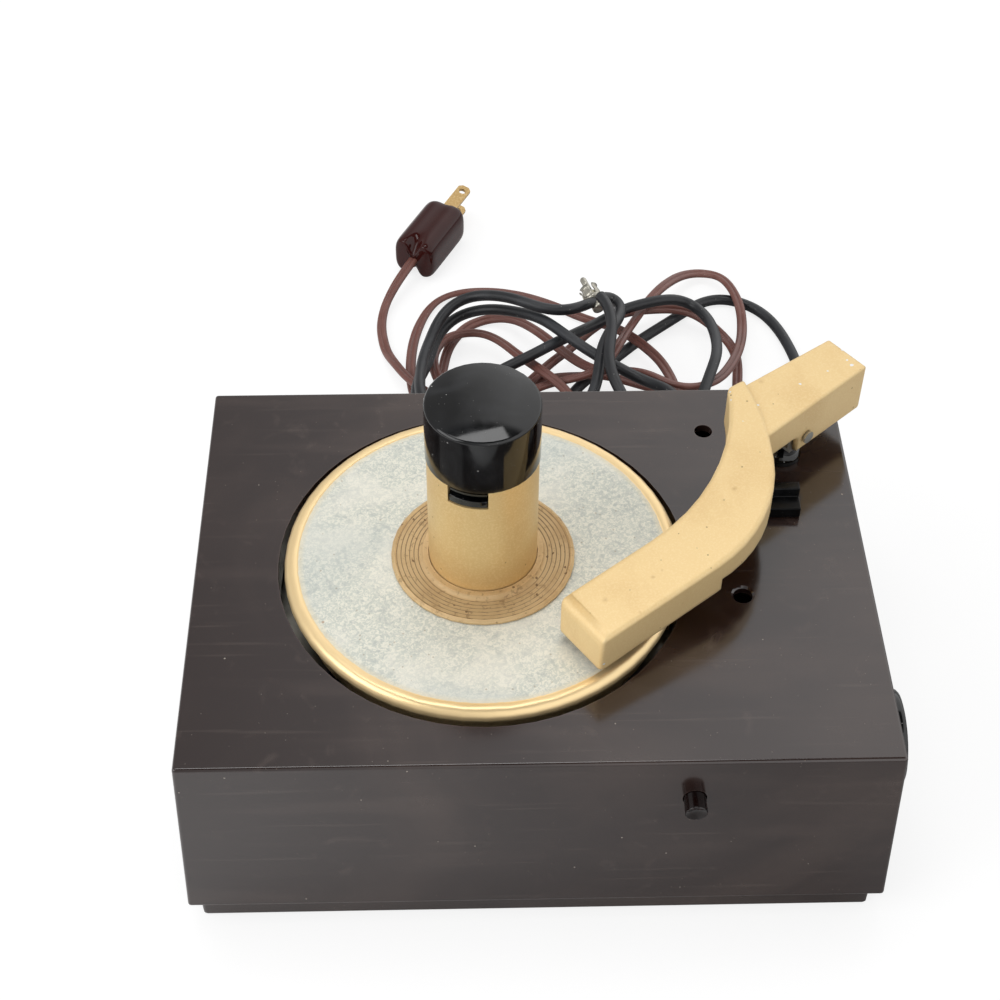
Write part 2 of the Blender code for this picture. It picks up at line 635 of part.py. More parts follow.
def make_case():
    case = tapered_box("case_shell", CASE_FOOT, CASE_TOP, 0, CASE_BROWN)
    bevel(case, CASE_ROUNDING, 3)
    hollow = tapered_box("case_hollow", CASE_FOOT - OVERRUN, CASE_TOP - CASE_ROOF, CASE_WALL, CASE_BROWN)
    cut(case, hollow)
    lip = ring(
        "well_lip",
        WELL_RADIUS + WELL_LIP_WALL,
        WELL_RADIUS - WELL_LIP_WALL,
        CASE_TOP - WELL_LIP_DEPTH,
        CASE_TOP - CASE_ROOF / 2,
        CASE_BROWN,
        WIDE_STEPS,
        place=(AXIS_X, AXIS_Y, 0),
    )
    join(case, lip)
    for i, (x, y) in enumerate(screw_places()):
        foot = CASE_FOOT + BOSS_RISE
        height = CASE_TOP - CASE_ROOF / 2 - foot
        join(case, rod(f"case_boss_{i}", BOSS_RADIUS, height, CASE_BROWN, 20, place=(x, y, foot)))
        pilot = rod(
            f"case_pilot_{i}",
            SCREW_SHANK_RADIUS + HOLE_GAP,
            SCREW_LENGTH + OVERRUN,
            CASE_BROWN,
            12,
            place=(x, y, foot - OVERRUN),
        )
        cut(case, pilot)
    well = rod(
        "well",
        WELL_RADIUS,
        CASE_TOP,
        CASE_BROWN,
        WIDE_STEPS,
        place=(AXIS_X, AXIS_Y, CASE_TOP / 2),
    )
    cut(case, well)
    roof_hole = CASE_TOP - CASE_ROOF - OVERRUN
    tall = CASE_ROOF + 2 * OVERRUN
    x, y = ACCESS_HOLE_PLACE
    cut(case, rod("access_hole", ACCESS_HOLE_RADIUS, tall, CASE_BROWN, 24, place=(x, y, roof_hole)))
    x, y = ADJUST_HOLE_PLACE
    rim = CASE_TOP - ADJUST_HOLE_RIM
    wide = ADJUST_HOLE_RADIUS + ADJUST_HOLE_RIM
    profile = [
        (wide, CASE_TOP + OVERRUN),
        (wide, CASE_TOP),
        (ADJUST_HOLE_RADIUS, rim),
        (ADJUST_HOLE_RADIUS, roof_hole),
        (0, roof_hole),
        (0, CASE_TOP + OVERRUN),
    ]
    cut(case, turned("adjust_hole", profile, CASE_BROWN, 24, closed=False, place=(x, y, 0)))
    shaft_hole = PIVOT_SHAFT_RADIUS + HOLE_GAP
    cut(case, rod("pivot_hole", shaft_hole, tall, CASE_BROWN, 24, place=(PIVOT_X, PIVOT_Y, roof_hole)))
    z = CASE_TOP - BUTTON_DROP
    front = -half_case(z)[1]
    length = CASE_WALL + 2 * OVERRUN
    button_hole = rod(
        "button_hole",
        BUTTON_RADIUS + HOLE_GAP,
        length,
        CASE_BROWN,
        24,
        place=(BUTTON_X, front + length / 2, z),
        turn=(math.pi / 2, 0, 0),
    )
    cut(case, button_hole)
    bush_hole = rod(
        "bush_hole",
        SWITCH_BUSH_RADIUS + HOLE_GAP,
        length,
        CASE_BROWN,
        24,
        place=knob_place(-length / 2),
        turn=knob_turn(),
    )
    cut(case, bush_hole)
    back = half_case(EXIT_HEIGHT)[1]
    for name, x, radius in (
        ("mains_exit", MAINS_EXIT_X, RELIEF_ROOT_RADIUS),
        ("audio_exit", AUDIO_EXIT_X, RELIEF_ROOT_RADIUS),
    ):
        hole = rod(
            name,
            radius + HOLE_GAP,
            length,
            CASE_BROWN,
            24,
            place=(x, back + length / 2, EXIT_HEIGHT),
            turn=(math.pi / 2, 0, 0),
        )
        cut(case, hole)
    return case


def make_base():
    inset = BASE_INSET

    def extent(z):
        half_x, half_y = half_case(CASE_FOOT)
        return half_x - inset, half_y - inset

    top = CASE_FOOT - SEAT_GAP
    base = tapered_box("base_pan", 0, top, 0, CASE_BROWN, extent)
    bevel(base, BASE_ROUNDING, 2)
    cut(base, tapered_box("base_hollow", BASE_FLOOR, top + OVERRUN, BASE_WALL, CASE_BROWN, extent))
    seat = SCREW_RECESS + SCREW_HEAD_HEIGHT + SEAT_GAP
    boss_top = CASE_FOOT + BOSS_RISE - SEAT_GAP
    for i, (x, y) in enumerate(screw_places()):
        foot = BASE_FLOOR / 2
        join(base, rod(f"base_boss_{i}", BOSS_RADIUS, boss_top - foot, CASE_BROWN, 20, place=(x, y, foot)))
        wide = SCREW_HEAD_RADIUS + HOLE_GAP
        narrow = SCREW_SHANK_RADIUS + HOLE_GAP
        profile = [
            (narrow, boss_top + OVERRUN),
            (narrow, seat),
            (wide, seat),
            (wide, -OVERRUN),
            (0, -OVERRUN),
            (0, boss_top + OVERRUN),
        ]
        hole = turned(f"base_screw_hole_{i}", profile, CASE_BROWN, 16, closed=False, place=(x, y, 0))
        cut(base, hole)
    post_top = PLATE_TOP - PLATE_THICKNESS - SEAT_GAP
    for i, (sx, sy) in enumerate(((-1, -1), (1, -1), (1, 1), (-1, 1))):
        foot = BASE_FLOOR / 2
        place = (sx * (CASE_WIDTH / 2 - POST_INSET_X), sy * (CASE_DEPTH / 2 - POST_INSET_Y), foot)
        join(base, rod(f"chassis_post_{i}", POST_RADIUS, post_top - foot, CASE_BROWN, 16, place=place))
    motor = motor_place()
    for i in range(VENT_COUNT):
        x = motor.x + (i - (VENT_COUNT - 1) / 2) * VENT_STEP
        size = (VENT_WIDTH, VENT_LENGTH, BASE_FLOOR + OVERRUN)
        cut(base, box(f"vent_{i}", size, CASE_BROWN, place=(x, motor.y, BASE_FLOOR / 2)))


def make_screws():
    seat = SCREW_RECESS + SCREW_HEAD_HEIGHT
    for i, (x, y) in enumerate(screw_places()):
        profile = [
            (0, SCREW_LENGTH + seat - SCREW_HEAD_HEIGHT),
            (SCREW_SHANK_RADIUS, SCREW_LENGTH + seat - SCREW_HEAD_HEIGHT),
            (SCREW_SHANK_RADIUS, seat),
            (SCREW_HEAD_RADIUS, seat),
            (SCREW_HEAD_RADIUS, SCREW_RECESS),
            (0, SCREW_RECESS),
        ]
        turned(f"case_screw_{i + 1}", profile, PLAIN_STEEL, 16, closed=False, place=(x, y, 0))


def make_chassis():
    motor = motor_place()
    width = CASE_WIDTH - 2 * PLATE_INSET_X
    depth = CASE_DEPTH - 2 * PLATE_INSET_Y
    edge = rounded_rectangle(width, depth, PLATE_CORNER)
    shaft = circle((motor.x, motor.y), ROTOR_SHAFT_RADIUS + OVERRUN / 4, 16)
    foot = PLATE_TOP - PLATE_THICKNESS
    at = (0, 0, foot)
    chassis = plate("chassis_plate", [edge, shaft], PLATE_THICKNESS, PLAIN_STEEL, place=at)
    return chassis


def idler_place():
    orbit = SKIRT_INNER - SEAT_GAP - IDLER_RADIUS
    return Vector((AXIS_X + orbit * math.cos(IDLER_ANGLE), AXIS_Y + orbit * math.sin(IDLER_ANGLE), 0))


def motor_place():
    reach = IDLER_RADIUS + PULLEY_RADIUS + SEAT_GAP
    return idler_place() + Vector((reach * math.cos(MOTOR_ANGLE), reach * math.sin(MOTOR_ANGLE), 0))


def cycle_place():
    reach = GEAR_MODULE * (PINION_TEETH + CYCLE_TEETH) / 2
    return Vector((AXIS_X + reach * math.cos(CYCLE_ANGLE), AXIS_Y + reach * math.sin(CYCLE_ANGLE), 0))


def make_motor():
    middle = motor_place()
    foot = STACK_TOP - STACK_HEIGHT
    x0, x1, y = -STACK_BACK, STACK_FRONT, STACK_WIDTH / 2
    edge = [(x0, -y), (x1, -y), (x1, y), (x0, y)]
    right = x1 - STACK_LEG
    half = y - STACK_LEG * COIL_END_SHARE
    window = [
        (right - WINDOW_LENGTH, -half),
        (right, -half),
        (right, half),
        (right - WINDOW_LENGTH, half),
    ]
    bore = circle((0, 0), BORE_RADIUS, ROUND_STEPS)
    plate("motor_laminations", [edge, bore, window], STACK_HEIGHT, PLAIN_STEEL, place=(*middle.xy, foot))
    hole_width = STACK_LEG + 2 * SEAT_GAP
    hole_height = STACK_HEIGHT + 2 * SEAT_GAP
    corner = COIL_WALL * COIL_CORNER_SHARE
    outer = rounded_rectangle(hole_width + 2 * COIL_WALL, hole_height + 2 * COIL_WALL, corner)
    inner = rounded_rectangle(hole_width, hole_height, SEAT_GAP)[::-1]
    length = 2 * half - 2 * SEAT_GAP
    place = (middle.x + (right + x1) / 2, middle.y + length / 2, foot + STACK_HEIGHT / 2)
    plate("motor_coil", [outer, inner], length, COPPER_COIL, place=place, turn=(math.pi / 2, 0, 0))
    return middle, foot


def make_motor_brackets(middle, foot):
    """A hanger on two feet over the laminations and a flat strap under them carry the rotor's ends."""
    steel = BRACKET_THICKNESS
    bore = circle((0, 0), ROTOR_SHAFT_RADIUS + RUNNING_GAP)[::-1]
    outlines = [rounded_rectangle(BRACKET_WIDTH, STACK_WIDTH, steel), bore]
    z = STACK_TOP + SEAT_GAP + BRACKET_RISE
    hanger = plate("motor_hanger", outlines, steel, PLAIN_STEEL, place=(*middle.xy, z))
    foot_depth = STACK_WIDTH / 2 * BRACKET_FOOT_SHARE
    size = (BRACKET_WIDTH - 2 * steel, foot_depth, BRACKET_RISE + steel / 2)
    height = PLATE_TOP - PLATE_THICKNESS - SEAT_GAP - z - steel / 2
    for i, side in enumerate((-1, 1)):
        y = middle.y + side * (STACK_WIDTH / 2 - foot_depth / 2 - steel / 2)
        place = (middle.x, y, STACK_TOP + SEAT_GAP + size[2] / 2)
        join(hanger, box(f"hanger_foot_{i}", size, PLAIN_STEEL, place=place))
        place = (middle.x, y, z + steel / 2)
        join(hanger, rod(f"motor_stud_{i}", MOTOR_STUD_RADIUS, height, PLAIN_STEEL, 16, place=place))
    at = (*middle.xy, foot - SEAT_GAP - steel)
    plate("motor_bearing", outlines, steel, PLAIN_STEEL, place=at)


def make_rotor(middle, foot):
    axis = axis_empty("motor_axis", middle)
    pulley_top = PLATE_TOP + IDLER_FOOT_RISE + IDLER_THICKNESS + SEAT_GAP
    pulley_foot = pulley_top - PULLEY_HEIGHT
    end = foot - 3 * BRACKET_THICKNESS
    clear = 2 * SEAT_GAP
    profile = [
        (0, pulley_top),
        (PULLEY_RADIUS, pulley_top),
        (PULLEY_RADIUS, pulley_foot),
        (ROTOR_SHAFT_RADIUS, pulley_foot),
        (ROTOR_SHAFT_RADIUS, STACK_TOP),
        (ROTOR_RADIUS, STACK_TOP - clear),
        (ROTOR_RADIUS, foot + clear),
        (ROTOR_SHAFT_RADIUS, foot),
        (ROTOR_SHAFT_RADIUS, end),
        (0, end),
    ]
    turned("motor_rotor", profile, PLAIN_STEEL, closed=False, parent=axis)


def capsule(start, end, radius_a, radius_b, count=8):
    """The outline of a lever with round ends."""
    heading = math.atan2(end[1] - start[1], end[0] - start[0])
    quarter = math.pi / 2
    return arc(start, radius_a, heading + quarter, heading + 3 * quarter, count) + arc(
        end, radius_b, heading - quarter, heading + quarter, count
    )


def make_idler():
    place = idler_place()
    axis = axis_empty("idler_axis", place)
    foot = PLATE_TOP + IDLER_FOOT_RISE
    top = foot + IDLER_THICKNESS
    tyre_inner = IDLER_RADIUS - IDLER_TYRE_WALL
    ring("idler_tyre", IDLER_RADIUS, tyre_inner, foot, top, RUBBER, 40, parent=axis)
    disc = tyre_inner - SEAT_GAP
    bore = IDLER_AXLE_RADIUS + RUNNING_GAP
    hub = 3 * IDLER_AXLE_RADIUS
    thin = IDLER_THICKNESS / 5
    profile = [
        (disc, top - thin / 2),
        (disc, foot + thin / 2),
        (disc - thin, foot + 2 * thin),
        (hub, foot + 2 * thin),
        (hub, foot - thin),
        (bore, foot - thin),
        (bore, top),
        (hub, top),
        (hub, top - 2 * thin),
        (disc - thin, top - 2 * thin),
    ]
    turned("idler_wheel", profile, PLAIN_BRASS, parent=axis)
    arm_foot = PLATE_TOP + IDLER_ARM_RISE
    arm_top = arm_foot + IDLER_ARM_THICKNESS
    flange = 2 * IDLER_AXLE_RADIUS
    axle = [
        (0, top + thin),
        (IDLER_AXLE_RADIUS, top + thin),
        (IDLER_AXLE_RADIUS, foot - thin - SEAT_GAP),
        (flange, foot - thin - SEAT_GAP),
        (flange, arm_top + SEAT_GAP),
        (0, arm_top + SEAT_GAP),
    ]
    turned("idler_axle", axle, PLAIN_STEEL, 24, closed=False, place=place)
    pin = IDLER_PIN_SHARE * MOTOR_STUD_RADIUS
    reach = Vector((*IDLER_ARM_REACH, 0))
    outline = capsule((0, 0), IDLER_ARM_REACH, IDLER_ARM_WIDTH / 2, IDLER_ARM_WIDTH / 2)
    pivot_hole = circle(IDLER_ARM_REACH, pin + HOLE_GAP, 16)[::-1]
    at = (*place.xy, arm_foot)
    plate("idler_arm", [outline, pivot_hole], IDLER_ARM_THICKNESS, PLAIN_STEEL, place=at)
    post = [
        (0, arm_top + 2 * IDLER_ARM_THICKNESS),
        (pin, arm_top + 2 * IDLER_ARM_THICKNESS),
        (pin, arm_foot - SEAT_GAP),
        (MOTOR_STUD_RADIUS, arm_foot - SEAT_GAP),
        (MOTOR_STUD_RADIUS, PLATE_TOP + SEAT_GAP),
        (0, PLATE_TOP + SEAT_GAP),
    ]
    turned("idler_pivot", post, PLAIN_STEEL, 20, closed=False, place=place + reach)


def involute(angle):
    return math.tan(angle) - angle


def gear_outline(teeth, phase, straight=False, missing=0):
    """Involute teeth with the first one's middle at the phase. The missing ones are the first
    and its neighbours."""
    pitch = GEAR_MODULE * teeth / 2
    base = pitch * math.cos(PRESSURE_ANGLE)
    tip = pitch + TOOTH_TOP_SHARE * GEAR_MODULE
    root = pitch - TOOTH_ROOT_SHARE * GEAR_MODULE
    half_tooth = math.pi / (2 * teeth) - TOOTH_BACKLASH / (2 * pitch)

    def half_angle(radius):
        at = math.acos(min(1.0, base / max(radius, base)))
        return half_tooth + involute(PRESSURE_ANGLE) - involute(at)

    points = []
    flank = [(r, half_angle(r)) for r in ((root, tip) if straight else (root, pitch, tip))]
    gap = [(root, half_angle(root))]
    for k in range(teeth):
        middle = phase + math.tau * k / teeth
        absent = min(k, teeth - k) <= missing // 2 and missing > 0
        side = gap if absent else flank
        for radius, half in side:
            points.append((radius * math.cos(middle - half), radius * math.sin(middle - half)))
        for radius, half in side[::-1]:
            points.append((radius * math.cos(middle + half), radius * math.sin(middle + half)))
    return points


def make_gears(turntable):
    foot = PLATE_TOP + GEAR_FOOT_RISE
    pinion = gear_outline(PINION_TEETH, CYCLE_ANGLE)
    bore = circle((0, 0), HUB_NECK_RADIUS + SEAT_GAP, ROUND_STEPS)[::-1]
    plate("hub_pinion", [pinion, bore], GEAR_THICKNESS, PLAIN_BRASS, parent=turntable, place=(0, 0, foot))
    middle = cycle_place()
    axis = axis_empty("cycle_axis", middle)
    step = math.tau / CYCLE_TEETH
    phase = CYCLE_ANGLE + math.pi + step / 2
    outline = gear_outline(CYCLE_TEETH, phase, True, CYCLE_MISSING)
    stud_hole = circle((0, 0), CYCLE_STUD_RADIUS + RUNNING_GAP, ROUND_STEPS)[::-1]
    gear = plate(
        "cycle_gear",
        [outline, stud_hole],
        GEAR_THICKNESS,
        WORN_ZINC,
        parent=axis,
        place=(0, 0, foot),
    )
    track_outer = CAM_TRACK_RADIUS + CAM_TRACK_WALL / 2
    track = ring(
        "cam_track",
        track_outer,
        CAM_TRACK_RADIUS - CAM_TRACK_WALL / 2,
        foot + GEAR_THICKNESS / 2,
        foot + GEAR_THICKNESS + CAM_TRACK_HEIGHT,
        WORN_ZINC,
        ROUND_STEPS,
        parent=axis,
        place=(CAM_TRACK_OFFSET, 0, 0),
    )
    join(gear, track)
    flange = 2 * CYCLE_STUD_RADIUS
    top = foot + GEAR_THICKNESS + 2 * CAM_TRACK_WALL
    profile = [
        (0, top),
        (CYCLE_STUD_RADIUS, top),
        (CYCLE_STUD_RADIUS, foot - SEAT_GAP),
        (flange, foot - SEAT_GAP),
        (flange, PLATE_TOP + SEAT_GAP),
        (0, PLATE_TOP + SEAT_GAP),
    ]
    turned("cycle_gear_stud", profile, PLAIN_STEEL, closed=False, place=middle)


def make_platter(turntable):
    top = CASE_TOP + DECK_RISE
    under = top - DECK_THICKNESS
    bead = arc((RIM_CENTRE, CASE_TOP + RIM_RISE), RIM_RADIUS, math.radians(112), math.radians(-90), 8)
    outer = SKIRT_INNER + SKIRT_WALL
    skirt_foot = CASE_TOP - SKIRT_DROP
    fillet = DECK_THICKNESS
    profile = [
        (DECK_BORE, top),
        (DECK_RADIUS, top),
        *bead,
        (outer, CASE_TOP + RIM_RISE - RIM_RADIUS),
        (outer, skirt_foot),
        (SKIRT_INNER, skirt_foot),
        (SKIRT_INNER, under - fillet),
        (SKIRT_INNER - fillet, under),
        (DECK_BORE, under),
    ]
    turned("platter", profile, WORN_ZINC, WIDE_STEPS, parent=turntable)


def make_hub_disc(turntable):
    foot = CASE_TOP + DECK_RISE + SEAT_GAP
    crest = foot + HUB_DISC_HEIGHT
    ledge_edge = POST_TUBE_RADIUS + SEAT_GAP
    ring_top = foot + HUB_RING_HEIGHT
    step = (HUB_DISC_RADIUS - HUB_RING_OUTER) / (GROOVE_COUNT + 1)
    profile = [
        (HUB_DISC_BORE, foot + LEDGE_HEIGHT),
        (ledge_edge, foot + LEDGE_HEIGHT),
        (ledge_edge, ring_top),
        (HUB_RING_OUTER - step / 4, ring_top),
        (HUB_RING_OUTER, crest),
    ]
    for i in range(GROOVE_COUNT):
        trough = HUB_RING_OUTER + step * (i + GROOVE_LEAD_SHARE)
        profile += [(trough, crest - GROOVE_DEPTH), (trough + step / 2, crest)]
    profile += [
        (HUB_DISC_RADIUS, crest - GROOVE_DEPTH),
        (HUB_DISC_RADIUS, foot),
        (HUB_DISC_BORE, foot),
    ]
    turned("hub_disc", profile, SATIN_GOLD, 36, parent=turntable)


def make_hub(turntable):
    deck_under = CASE_TOP + DECK_RISE - DECK_THICKNESS
    flange_top = deck_under - SEAT_GAP
    flange_foot = flange_top - HUB_FLANGE_THICKNESS
    neck_top = PLATE_TOP + GEAR_FOOT_RISE + GEAR_THICKNESS + SEAT_GAP
    foot = PLATE_TOP + 2 * SEAT_GAP + SHAFT_FLANGE_THICKNESS
    top = CASE_TOP + HUB_TOP_RISE
    bore = SHAFT_RADIUS + RUNNING_GAP
    profile = [
        (bore, top),
        (HUB_BOSS_RADIUS, top),
        (HUB_BOSS_RADIUS, flange_top),
        (HUB_FLANGE_RADIUS, flange_top),
        (HUB_FLANGE_RADIUS, flange_foot),
        (HUB_BODY_RADIUS, flange_foot),
        (HUB_BODY_RADIUS, neck_top),
        (HUB_NECK_RADIUS, neck_top),
        (HUB_NECK_RADIUS, foot),
        (bore, foot),
    ]
    turned("platter_hub", profile, PLAIN_BRASS, parent=turntable)
    shaft = [
        (0, CASE_TOP + SHAFT_TOP_RISE),
        (SHAFT_RADIUS, CASE_TOP + SHAFT_TOP_RISE),
        (SHAFT_RADIUS, foot - SEAT_GAP),
        (SHAFT_FLANGE_RADIUS, foot - SEAT_GAP),
        (SHAFT_FLANGE_RADIUS, PLATE_TOP + SEAT_GAP),
        (0, PLATE_TOP + SEAT_GAP),
    ]
    turned("spindle_shaft", shaft, PLAIN_STEEL, closed=False, place=(AXIS_X, AXIS_Y, 0))


def notch_floor():
    return CASE_TOP + CAP_FOOT_RISE - SEAT_GAP - NOTCH_DEPTH


def make_post_tube(turntable):
    outer = POST_TUBE_RADIUS
    inner = outer - POST_TUBE_WALL
    spigot = inner - SPIGOT_WALL
    foot = CASE_TOP + DECK_RISE + LEDGE_HEIGHT + 2 * SEAT_GAP
    top = CASE_TOP + CAP_FOOT_RISE - SEAT_GAP
    spigot_top = CASE_TOP + SPIGOT_TOP_RISE
    platform = notch_floor()
    under = platform - PLATFORM_THICKNESS
    bore = CAM_SLEEVE_RADIUS + RUNNING_GAP
    profile = [
        (inner, spigot_top),
        (inner, top),
        (outer, top),
        (outer, foot),
        (inner, foot),
        (inner, under),
        (bore, under),
        (bore, platform),
        (spigot, platform),
        (spigot, spigot_top),
    ]
    post = turned("centre_post", profile, SATIN_GOLD, 36, parent=turntable)
    for i in range(2):
        angle = NOTCH_ANGLE + math.pi * i
        reach = (outer + spigot) / 2
        height = top - platform + SEAT_GAP / 2
        size = (2 * (outer - spigot) + OVERRUN / 2, NOTCH_WIDTH, height)
        notch = box(
            f"notch_{i}",
            size,
            SATIN_GOLD,
            parent=turntable,
            place=(reach * math.cos(angle), reach * math.sin(angle), platform + height / 2),
            turn=(0, 0, angle),
        )
        cut(post, notch)


def make_cap(turntable):
    foot = CASE_TOP + CAP_FOOT_RISE
    edge = CASE_TOP + CAP_EDGE_RISE
    wide = CAP_RADIUS
    bore = POST_TUBE_RADIUS - POST_TUBE_WALL + SEAT_GAP
    inner = CAP_RADIUS - CAP_WALL
    rounding = CAP_EDGE_ROUNDING
    dome_radius = (wide**2 + CAP_DOME**2) / (2 * CAP_DOME)
    dome = []
    for i in range(5):
        radius = (wide - rounding) * i / 4
        dome.append((radius, edge + CAP_DOME - dome_radius + math.sqrt(dome_radius**2 - radius**2)))
    shoulder = arc((wide - rounding, edge - rounding), rounding, math.radians(60), 0, 3)
    ceiling = edge - CAP_WALL
    profile = [
        *dome,
        *shoulder,
        (wide, foot),
        (bore, foot),
        (bore, CASE_TOP + SPIGOT_TOP_RISE + SEAT_GAP),
        (inner - CAP_WALL, CASE_TOP + SPIGOT_TOP_RISE + CAP_WALL),
        (inner - CAP_WALL, ceiling),
        (0, ceiling),
    ]
    turned("spindle_cap", profile, GLOSS_BLACK, 40, closed=False, parent=turntable)


def slider_outline(inner, outer, width, count=6):
    """A tongue along +X whose outer end follows a circle round the post's axis."""
    half = math.asin(width / 2 / outer)
    return [(inner, width / 2), (inner, -width / 2), *arc((0, 0), outer, -half, half, count)]


def make_changer_mechanism(turntable):
    """Shelves that carry the stack, blades that part it, and the cams that push them out."""
    shelf_foot = notch_floor() + SEAT_GAP
    shelf_top = shelf_foot + SHELF_HEIGHT
    divider_foot = shelf_top + SEAT_GAP
    blade_foot = divider_foot + DIVIDER_THICKNESS + SEAT_GAP
    shelf_outer = POST_TUBE_RADIUS - SHELF_SETBACK
    blade_outer = POST_TUBE_RADIUS - BLADE_SETBACK
    for i in range(2):
        angle = NOTCH_ANGLE + math.pi * i
        outline = slider_outline(SHELF_INNER, shelf_outer, SHELF_WIDTH)
        shelf = plate(
            f"record_shelf_{i + 1}",
            [outline],
            SHELF_HEIGHT,
            GLOSS_BLACK,
            parent=turntable,
            place=(0, 0, shelf_foot),
            turn=(0, 0, angle),
        )
        bevel(shelf, SHELF_SETBACK, 1, 60)
        outline = slider_outline(SHELF_INNER, blade_outer, BLADE_WIDTH)
        plate(
            f"separator_blade_{i + 1}",
            [outline],
            BLADE_THICKNESS,
            PLAIN_STEEL,
            parent=turntable,
            place=(0, 0, blade_foot),
            turn=(0, 0, angle),
        )
    spigot = POST_TUBE_RADIUS - POST_TUBE_WALL - SPIGOT_WALL
    sleeve_bore = CAM_ROD_RADIUS + HOLE_GAP
    ring(
        "separator_divider",
        spigot - SEAT_GAP,
        CAM_LONG - SEAT_GAP,
        divider_foot,
        divider_foot + DIVIDER_THICKNESS,
        PLAIN_STEEL,
        parent=turntable,
    )
    sleeve_foot = CASE_TOP + SHAFT_TOP_RISE + SEAT_GAP
    cam_place = NOTCH_ANGLE + math.pi / 2
    cam = [
        (CAM_LONG * math.cos(a), CAM_SHORT * math.sin(a))
        for a in [math.tau * k / 32 for k in range(32)]
    ]
    shelf_cam = plate(
        "shelf_cam",
        [cam],
        SHELF_HEIGHT,
        PLAIN_STEEL,
        parent=turntable,
        place=(0, 0, shelf_foot),
        turn=(0, 0, cam_place),
    )
    sleeve = rod(
        "cam_sleeve",
        CAM_SLEEVE_RADIUS,
        shelf_top - sleeve_foot - SEAT_GAP,
        PLAIN_STEEL,
        24,
        parent=turntable,
        place=(0, 0, sleeve_foot),
    )
    join(shelf_cam, sleeve)
    bore = rod(
        "sleeve_bore",
        sleeve_bore,
        shelf_top - sleeve_foot + 2 * OVERRUN,
        PLAIN_STEEL,
        24,
        parent=turntable,
        place=(0, 0, sleeve_foot - OVERRUN),
    )
    cut(shelf_cam, bore)
    blade_cam = plate(
        "blade_cam",
        [cam],
        BLADE_THICKNESS,
        PLAIN_BRASS,
        parent=turntable,
        place=(0, 0, blade_foot),
        turn=(0, 0, cam_place),
    )
    driver = rod(
        "blade_rod",
        CAM_ROD_RADIUS,
        blade_foot + BLADE_THICKNESS - sleeve_foot + CAM_SLEEVE_GAP,
        PLAIN_BRASS,
        16,
        parent=turntable,
        place=(0, 0, sleeve_foot),
    )
    join(blade_cam, driver)


def heading_vectors():
    along = Vector((math.cos(ARM_HEADING), math.sin(ARM_HEADING)))
    return along, Vector((-along.y, along.x))


def head_point(s, n):
    """The plan point s along the head's heading and n to its left, from a point beside the pivot."""
    along, across = heading_vectors()
    return Vector((PIVOT_X - HEAD_LINES_OFFSET, 0)) + along * s + across * n


def beam_outline():
    """The plan of the curved beam, counter-clockwise from the head's outer front corner."""
    along, across = heading_vectors()
    centre = head_point(OUTER_ARC_START, ARM_OUTER_LINE + OUTER_ARC_RADIUS)
    start = ARM_HEADING - math.pi / 2
    outer = arc(centre, OUTER_ARC_RADIUS, start, start + OUTER_ARC_SWEEP, 9)
    turn_end = start + OUTER_ARC_SWEEP
    end = Vector(outer[-1])
    spoke = Vector((math.cos(turn_end), math.sin(turn_end)))
    tail_centre = end - spoke * TAIL_ARC_RADIUS
    tail = arc(tail_centre, TAIL_ARC_RADIUS, turn_end, turn_end + TAIL_ARC_SWEEP, 5)[1:]
    inner_centre = head_point(INNER_ARC_START, ARM_INNER_LINE + INNER_ARC_RADIUS)
    inner = arc(inner_centre, INNER_ARC_RADIUS, start + INNER_ARC_SWEEP, start, 10)
    corners = [tuple(head_point(ARM_FRONT, ARM_INNER_LINE)), tuple(head_point(ARM_FRONT, ARM_OUTER_LINE))]
    return [corners[1], *outer, *tail, *inner, corners[0]]


def inset(outline, distance):
    """The outline moved inwards by a wall; it runs counter-clockwise."""
    count = len(outline)
    moved = []
    for i in range(count):
        before, here, after = (Vector(outline[(i + k) % count]) for k in (-1, 0, 1))
        first = (here - before).normalized()
        second = (after - here).normalized()
        in_first = Vector((-first.y, first.x))
        in_second = Vector((-second.y, second.x))
        share = 1 + in_first.dot(in_second)
        moved.append(tuple(here + (in_first + in_second) * (distance / share)))
    return moved


def arm_top(x, y):
    """The height of the beam's sloping top above the case, at a plan point."""
    along = (x - PIVOT_X) * ARM_DIRECTION[0] + (y - PIVOT_Y) * ARM_DIRECTION[1]
    return ARM_TOP_AT_PIVOT - ARM_TOP_SLOPE * along


def sloped_prism(name, outline, foot, drop, lift_axis, origin):
    """A prism on the outline whose top lies below the beam's sloping top by the drop."""
    prism = plate(name, [outline], OVERRUN, SATIN_GOLD, parent=lift_axis)
    for v in prism.data.vertices:
        z = CASE_TOP + (arm_top(v.co.x, v.co.y) - drop if v.co.z > OVERRUN / 2 else foot)
        v.co = Vector((v.co.x, v.co.y, z)) - origin
    return prism


